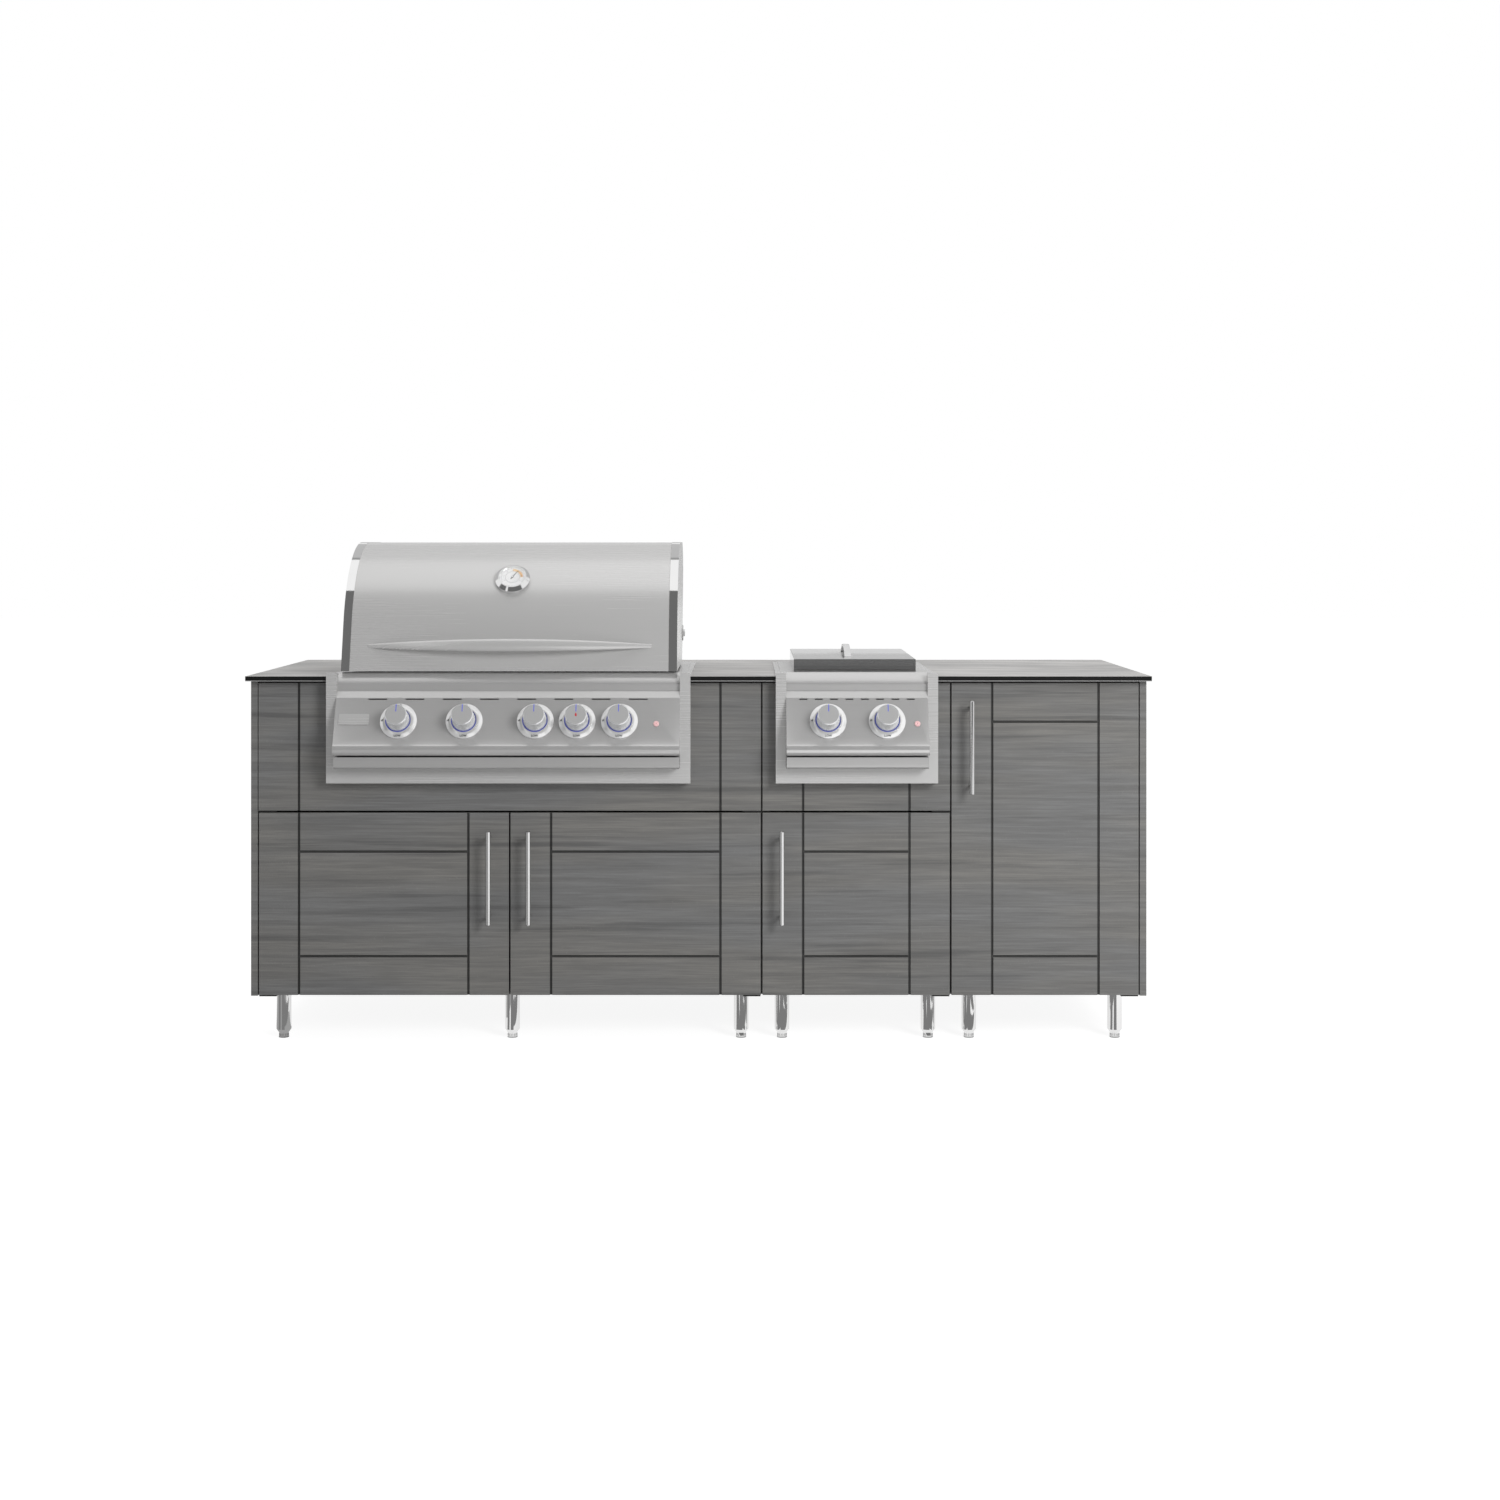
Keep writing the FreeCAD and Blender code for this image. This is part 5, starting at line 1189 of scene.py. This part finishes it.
# %% Cabinet screws
cabinets = ("grill_cabinet_box", "burner_cabinet_box", "storage_cabinet_box")
screw_inset = 9.5 * mm
screw_pitch = 170 * mm
leg_inset = 50 * mm
front_leg_back = 66 * mm
leg_plate_thickness = 4 * mm
plate_screw_circle = 24 * mm


def back_screws():
    spots = []
    for box in cabinets:
        low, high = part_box(box)
        x0, x1 = low.x + screw_inset, high.x - screw_inset
        z0, z1 = low.z + screw_inset, high.z - screw_inset
        rows = round((z1 - z0) / screw_pitch)
        columns = max(2, round((x1 - x0) / screw_pitch))
        for i in range(rows + 1):
            z = z0 + (z1 - z0) * i / rows
            spots += [(Vector((x, high.y, z)), backward) for x in (x0, x1)]
        for i in range(1, columns):
            spots.append((Vector((x0 + (x1 - x0) * i / columns, high.y, z0)), backward))
    return spots


def leg_places():
    places = []
    for box in cabinets:
        low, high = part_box(box)
        xs = [low.x + leg_inset, high.x - leg_inset]
        if box.startswith("grill"):
            xs.append((low.x + high.x) / 2)
        places += [(x, y) for x in xs for y in (door_face_y + front_leg_back, high.y - leg_inset)]
    return places


def plate_screws():
    plate_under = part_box(cabinets[0])[0].z - leg_plate_thickness
    spots = []
    for x, y in leg_places():
        for i in range(4):
            turn = math.pi / 4 + math.pi / 2 * i
            away = Vector((math.cos(turn), math.sin(turn), 0)) * plate_screw_circle
            spots.append((Vector((x, y, plate_under)) + away, -upward))
    return spots


count = studs("cabinet_screws", back_screws() + plate_screws(), sides=14, radius=4.0 * mm,
              top_radius=2.6 * mm, height=1.4 * mm, material=plate_finish, body="island")
print("cabinet screws", count)

# %% [markdown]
# Shelf holes.
# Two rows of small holes in each side of the tall cabinet let the shelf move up and down. Holes
# could be cut with a Boolean, but at 5 mm wide a flat black disc can't be told from one. The
# disc's black is painted shade, standing for the dark inside of the hole.

# %% Shelf holes
cabinet_wall = 19 * mm
front_hole_row = 60 * mm
back_hole_row = 72 * mm
holes_in_row = 13
lowest_hole = 245 * mm
hole_pitch = 32 * mm


def shelf_holes():
    low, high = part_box("storage_cabinet_box")
    spots = []
    for x, direction in ((low.x + cabinet_wall, right), (high.x - cabinet_wall, -right)):
        for y in (low.y + front_hole_row, high.y - back_hole_row):
            for i in range(holes_in_row):
                spots.append((Vector((x, y, lowest_hole + hole_pitch * i)), direction))
    return spots


# Painted shade: the black of each disc stands for the dark inside of a hole.
count = studs("shelf_holes", shelf_holes(), sides=12, radius=2.6 * mm, top_radius=2.6 * mm,
              height=0.1 * mm, material=black_paint, body="island")
print("shelf holes", count)

# %% [markdown]
# Burner ports.
# Gas leaves the four tubes of the grill through two rows of ports, and the side burner's heads
# through a ring of them. The frame's tubes are plain, because hundreds of real bores would cost it
# too many faces. Here each port is a tiny black stud that leans out of the round wall. Its black is
# painted shade, standing for the dark inside of the bore.

# %% Burner ports
tube_count = 4
tube_pitch = 186 * mm
tube_radius = 16 * mm
tube_level = 795 * mm
ports_in_row = 30
first_port = 56 * mm
port_pitch = 12.6 * mm
port_lean = math.radians(62)
head_inset = 45 * mm
ports_in_ring = 36
ring_level = 813.5 * mm
ring_radius = 39.9 * mm
ring_lean = (0.67, 0.74)


def tube_ports():
    spots = []
    centre_x = middle("grill_cabinet_box").x
    for tube in range(tube_count):
        x = centre_x + (tube - (tube_count - 1) / 2) * tube_pitch
        for row in range(ports_in_row):
            y = door_face_y + first_port + row * port_pitch
            for side in (-1, 1):
                away = Vector((side * math.sin(port_lean), 0, math.cos(port_lean)))
                spots.append((Vector((x, y, tube_level)) + away * tube_radius, away))
    return spots


def ring_ports():
    spots = []
    head_low, head_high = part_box("burner_heads")
    x = middle("burner_heads").x
    for y in (head_low.y + head_inset, head_high.y - head_inset):
        for i in range(ports_in_ring):
            turn = 2 * math.pi * i / ports_in_ring
            away = Vector((math.cos(turn), math.sin(turn), 0))
            slope = (away * ring_lean[0] + upward * ring_lean[1]).normalized()
            spots.append((Vector((x, y, ring_level)) + away * ring_radius, slope))
    return spots


# Painted shade: the black of each stud stands for the dark inside of a port.
count = studs("burner_ports", tube_ports() + ring_ports(), sides=8, radius=1.3 * mm,
              top_radius=1.2 * mm, height=0.3 * mm, material=black_paint, body="island")
print("burner ports", count)

# %% [markdown]
# Handle screws.
# Two screws go through each door into the posts of its handle, and their heads show inside. They
# are studs of their own, not part of the cabinet's, because they swing with the door.

# %% Handle screws
door_thickness = 19 * mm
handle_post_reach = 95 * mm


def handle_screws(door):
    centre = middle(door + "_handle")
    inside_y = door_face_y + door_thickness
    return [(Vector((centre.x, inside_y, centre.z + side * handle_post_reach)), backward)
            for side in (-1, 1)]


count = 0
for door in ("left_door", "center_door", "burner_door", "storage_door"):
    count += studs(door + "_screws", handle_screws(door), sides=16, radius=5.0 * mm,
                   top_radius=3.2 * mm, height=1.8 * mm, material=plate_finish, body=door)
print("handle screws", count)

# %% [markdown]
# Rods from lines.
# The cooking grates and the warming rack are welded round rods. Each rod could be a cylinder, but a
# Geometry Nodes tree can turn every line of a carrier mesh into a rod with closed ends, so a shelf
# is only a list of lines.

# %% Rods from lines
rod_sides = 12
thin_rod_radius = 2.0 * mm


def rods_recipe(material):
    board, entry, links = recipe("rods_" + material.name, {"Radius": 0.004, "Sides": 12})
    radius, sides = links
    lines = board.node("GeometryNodeMeshToCurve", sockets={"Mesh": entry})
    section = board.node("GeometryNodeCurvePrimitiveCircle", sockets={"Resolution": sides, "Radius": radius})
    tubes = board.node("GeometryNodeCurveToMesh",
                       sockets={"Curve": lines, "Profile Curve": section, "Fill Caps": True})
    smooth = board.node("GeometryNodeSetShadeSmooth", sockets={"Geometry": tubes, "Shade Smooth": True})
    deliver_solid(board, smooth, material)
    return board.tree


def rods(lines, radius):
    base = bpy.data.meshes.new("lines")
    corners = [corner for line in lines for corner in line]
    base.from_pydata(corners, [(2 * i, 2 * i + 1) for i in range(len(lines))], [])
    return grown(rods_tree, {"Radius": radius, "Sides": rod_sides}, base)


def rod_shelf(name, thick_lines, thick_radius, thin_lines):
    """Thick and thin rods as one smooth piece on the island."""
    mesh = merged([(rods(thick_lines, thick_radius), in_place),
                   (rods(thin_lines, thin_rod_radius), in_place)])
    mesh.shade_smooth()
    return put(name, mesh, in_place, rod_steel, "island")


rods_tree = rods_recipe(rod_steel)
print("inputs of the tree:", [item.name for item in rods_tree.interface.items_tree])

# %% [markdown]
# Cooking grates.
# Three grates lie side by side over the flames, so that one can be lifted out alone. Their long rods
# run from front to back, and three thin ones under them tie each grate together. They replace the
# frame's square bars, which stay for collision.

# %% Cooking grates
grate_count = 3
grate_gap = 3 * mm
rods_in_grate = 11
rod_radius = 4.0 * mm


def grate_lines():
    low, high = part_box("cooking_grates")
    pitch = (high.x - low.x + grate_gap) / grate_count
    long_rods, cross_rods = [], []
    top = high.z - rod_radius
    under = low.z + thin_rod_radius
    for i in range(grate_count):
        x0 = low.x + i * pitch
        x1 = x0 + pitch - grate_gap
        for k in range(rods_in_grate):
            x = x0 + rod_radius + k * (x1 - x0 - 2 * rod_radius) / (rods_in_grate - 1)
            long_rods.append(((x, low.y, top), (x, high.y, top)))
        for share in (0, 0.5, 1):
            y = low.y + rod_radius + share * (high.y - low.y - 2 * rod_radius)
            cross_rods.append(((x0, y, under), (x1, y, under)))
    return long_rods, cross_rods


long_rods, cross_rods = grate_lines()
grates = rod_shelf("cooking_grate_rods", long_rods, rod_radius, cross_rods)
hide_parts("cooking_grates")
print("grate rods", len(long_rods) + len(cross_rods))

# %% [markdown]
# The warming rack.
# A light rack stands above the back of the grates and keeps food warm. Two thick rods run along it
# and thin ones cross them. It is made by the same helper as the grates.

# %% Warming rack
rack_rod_radius = 3.0 * mm
rack_cross_rods = 22


def rack_lines():
    low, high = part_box("warming_rack")
    level = (low.z + high.z) / 2
    front_y, back_y = low.y + rack_rod_radius, high.y - rack_rod_radius
    along = [((low.x, y, level), (high.x, y, level)) for y in (front_y, back_y)]
    pitch = (high.x - low.x - 2 * rack_rod_radius) / (rack_cross_rods - 1)
    across = []
    for i in range(rack_cross_rods):
        x = low.x + rack_rod_radius + i * pitch
        across.append(((x, front_y, level), (x, back_y, level)))
    return along, across


along, across = rack_lines()
rack = rod_shelf("warming_rack_rods", along, rack_rod_radius, across)
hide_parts("warming_rack")
print("rack rods", len(along) + len(across))

# %% [markdown]
# Levelling feet.
# Each foot is knurled for the fingers: a ring of small ribs stands round its side, over a thin lip
# that meets the floor. A bump could hint at the ribs, but they show against the white floor, so
# they are real, and the tree that set the bars of the scale sets them too.

# %% Levelling feet
foot_radius = 11.5 * mm
rib_count = 18
rib_depth = 0.9 * mm
rib_width = 1.6 * mm
rib_height = 6.0 * mm
rib_low = 4.5 * mm
lip_overlap = 1.0 * mm
lip_reach = 0.9 * mm
lip_heights = (0.4 * mm, 2.8 * mm, 3.4 * mm)


def knurled_foot():
    values = {"Bars": rib_count, "Radius": foot_radius, "Start": 90.0, "Sweep": 360.0 - 360.0 / rib_count,
              "Length": rib_depth, "Width": rib_width, "Height": rib_height}
    ribs = grown(circle_recipe(foot_steel), values)
    inner, outer = foot_radius - lip_overlap, foot_radius + lip_reach
    low, edge, high = lip_heights
    lip = turned([(inner, low), (outer, low), (outer, edge), (inner, high)], sides=28, closed=True)
    return merged([(ribs, Matrix.Translation((0, 0, rib_low))), (lip, in_place)])


one_foot = knurled_foot()
feet = merged([(one_foot, Matrix.Translation((x, y, 0))) for x, y in leg_places()])
put("foot_knurls", feet, in_place, foot_steel, "island")
print("feet", len(leg_places()))

# %% [markdown]
# The white room.
# A white world shows behind the island, while it lights the island less than it shows. Light Path
# tells the two apart: rays from the camera and from mirrors see full white, all others see less.
# The floor glows white in the same way and still takes the island's shadow. A real white room would
# need so much light that the pale steel would clip.

# %% White room
world_fill = 0.45
floor_glow = 0.90
floor_shade = 0.25
floor_bounce = 0.75
floor_half = 30.0


def seen_rays(board):
    """1 for rays from the camera, from mirrors and through glass, 0 for the rays that light things."""
    rays = board.node("ShaderNodeLightPath", output="Is Camera Ray")
    seen = board.math("MAXIMUM", rays, rays.out("Is Glossy Ray"))
    return board.math("MAXIMUM", seen, rays.out("Is Transmission Ray"))


def white_world():
    world = bpy.data.worlds.new("white_room")
    bpy.context.scene.world = world
    world.use_nodes = True
    board = Board(world.node_tree)
    board.tree.nodes.clear()
    strength = seen_rays(board) * (1 - world_fill) + world_fill
    white = board.node("ShaderNodeBackground", sockets={"Color": (1, 1, 1, 1), "Strength": strength})
    board.node("ShaderNodeOutputWorld", sockets={"Surface": white}, output=None)


def floor_material():
    finish = Finish("floor")
    glow_part = finish.node("ShaderNodeEmission", sockets={"Color": grey(floor_glow), "Strength": 1.0})
    shade_part = finish.node("ShaderNodeBsdfDiffuse", sockets={"Color": grey(floor_shade)})
    seen = finish.node("ShaderNodeAddShader", sockets={0: glow_part, 1: shade_part})
    lit = finish.node("ShaderNodeBsdfDiffuse", sockets={"Color": grey(floor_bounce)})
    both = finish.node("ShaderNodeMixShader", sockets={0: seen_rays(finish), 1: lit, 2: seen})
    finish.node("ShaderNodeOutputMaterial", sockets={"Surface": both}, output=None)
    return finish.material


def flat_mesh(name, corners, faces, material):
    mesh = bpy.data.meshes.new(name)
    mesh.from_pydata(corners, [], faces)
    mesh.materials.append(material)
    piece = bpy.data.objects.new(name, mesh)
    bpy.context.scene.collection.objects.link(piece)
    return piece


white_world()
half = floor_half
corners = [(-half, -half, 0), (half, -half, 0), (half, half, 0), (-half, half, 0)]
floor = flat_mesh("floor", corners, [(0, 1, 2, 3)], floor_material())
print("room ready, floor half width", floor_half)

# %% [markdown]
# Cards that only mirrors see.
# Polished steel is as dark or bright as what it mirrors, and a white room alone would make it vanish.
# Grey paint on the steel would look flat, so grey cards on a large globe round the island do it, as
# a photographer's would. They are hidden from the camera and give no light.

# %% Card tools
card_radius = 7.0
card_centre = Vector((0.0, -0.3, 1.0))
card_steps = 16


def card_material(level):
    finish = Finish("grey_card")
    glow_part = finish.node("ShaderNodeEmission", sockets={"Color": grey(level), "Strength": 1.0})
    finish.node("ShaderNodeOutputMaterial", sockets={"Surface": glow_part}, output=None)
    return finish.material


def spread(ends):
    """Even steps from the first end to the last."""
    return [ends[0] + (ends[1] - ends[0]) * i / card_steps for i in range(card_steps + 1)]


def mirror_only(name, corners, level):
    """A square grid of corners that only mirrors see."""
    row = card_steps + 1
    firsts = [i * row + j for i in range(card_steps) for j in range(card_steps)]
    faces = [(first, first + 1, first + row + 1, first + row) for first in firsts]
    card = flat_mesh(name, corners, faces, card_material(level))
    card.visible_camera = False
    card.visible_diffuse = False
    card.visible_transmission = False
    card.visible_shadow = False


def add_card(name, level, sideways, upwards):
    """A patch of the globe between two pairs of angles, in degrees."""
    corners = []
    for rise in map(math.radians, spread(upwards)):
        for turn in map(math.radians, spread(sideways)):
            ahead = math.cos(turn)
            away = Vector((math.sin(turn), -ahead * math.cos(rise), ahead * math.sin(rise)))
            corners.append(card_centre + away * card_radius)
    mirror_only(name, corners, level)


def add_floor_card(name, level, centre, turns, reach):
    """A slice of a ring that lies on the floor round a place, between two angles from the front."""
    corners = []
    for radius in spread(reach):
        for turn in map(math.radians, spread(turns)):
            corners.append(centre + Vector((math.sin(turn), -math.cos(turn), 0)) * radius)
    mirror_only(name, corners, level)


print("card tools ready")

# %% [markdown]
# Where the cards stand.
# A dim card in front gives the polished trim its dark part, and an open slot in it puts a bright
# line on round rods. Light grey ones stand behind and above for the top of the hood, with two darker
# rails beside them. One on the floor darkens the folds and lips that look down, and two small ones
# in front of each leg draw the dark lines on its tube.

# %% Cards
front_card_grey = 0.16
front_card_rise = (-8, 68)
back_card_grey = 0.55
low_back_grey = 0.60
rail_grey = 0.35
floor_card_grey = 0.42
floor_card_centre = Vector((0.0, -0.3, 1 * mm))
floor_card_reach = (0.7, 9.0)
leg_card_grey = 0.25
leg_card_height = 2 * mm
leg_card_reach = (0.06, 0.60)
add_card("front_card_left", front_card_grey, (-65, -37), front_card_rise)
add_card("front_card", front_card_grey, (-27, 40), front_card_rise)
add_card("back_card", back_card_grey, (-65, 65), (118, 158))
add_card("low_back_card", low_back_grey, (-65, 65), (162, 181))
add_card("overhead_rail", rail_grey, (0, 60), (88, 92))
add_card("back_rail", rail_grey, (-60, 60), (114, 118))
add_floor_card("floor_card", floor_card_grey, floor_card_centre, (-100, -3), floor_card_reach)
front_legs = [(x, y) for x, y in leg_places() if y < 0]
for x, y in front_legs:
    centre = Vector((x, y, leg_card_height))
    add_floor_card("leg_card_left", leg_card_grey, centre, (-75, -40), leg_card_reach)
    add_floor_card("leg_card_right", leg_card_grey, centre, (-22, 20), leg_card_reach)
print("cards", 7 + 2 * len(front_legs))

# %% [markdown]
# Lamps.
# A broad soft light hangs overhead and a smaller one stands at the front right, so that handles and
# knobs throw soft shadows down to the left. Small lamps would throw hard ones. Both are hidden from
# mirrors, which see the room and the cards instead.

# %% Lamps


def softbox(name, place, aim, width, height, watts):
    light = bpy.data.lights.new(name, "AREA")
    light.shape = "RECTANGLE"
    light.size = width
    light.size_y = height
    light.energy = watts
    lamp = bpy.data.objects.new(name, light)
    bpy.context.scene.collection.objects.link(lamp)
    lamp.location = place
    lamp.rotation_euler = (Vector(aim) - Vector(place)).to_track_quat("-Z", "Y").to_euler()
    lamp.visible_glossy = False
    return watts


watts = softbox("overhead", place=(0, 0.39, 3.6), aim=(0, 0.39, 0), width=5.0, height=3.2, watts=65)
watts += softbox("front_right", place=(2.7, -4.1, 2.5), aim=(0, 0, 0.7), width=1.6, height=1.6, watts=158)
print("lamps in watts", watts)

# %% [markdown]
# The camera.
# It stands level at chest height and looks straight along +Y, so upright edges stay upright. Tilting
# it down would show more of the floor, but would make the sides of the island lean. Shift slides the
# view down without that.

# %% Camera
camera_distance = 5.331
camera_height = 1.2068
camera_side = 0.112
lens = bpy.data.cameras.new("camera")
lens.lens = 52.9
lens.sensor_width = 36.0
lens.shift_x = 0.0033
lens.shift_y = -0.1373
camera = bpy.data.objects.new("camera", lens)
camera.location = (camera_side, door_face_y - camera_distance, camera_height)
camera.rotation_euler = (math.radians(90), 0, 0)
bpy.context.scene.collection.objects.link(camera)
bpy.context.scene.camera = camera
bpy.context.scene.view_settings.view_transform = "Standard"
print("camera at", tuple(round(c, 3) for c in camera.location))
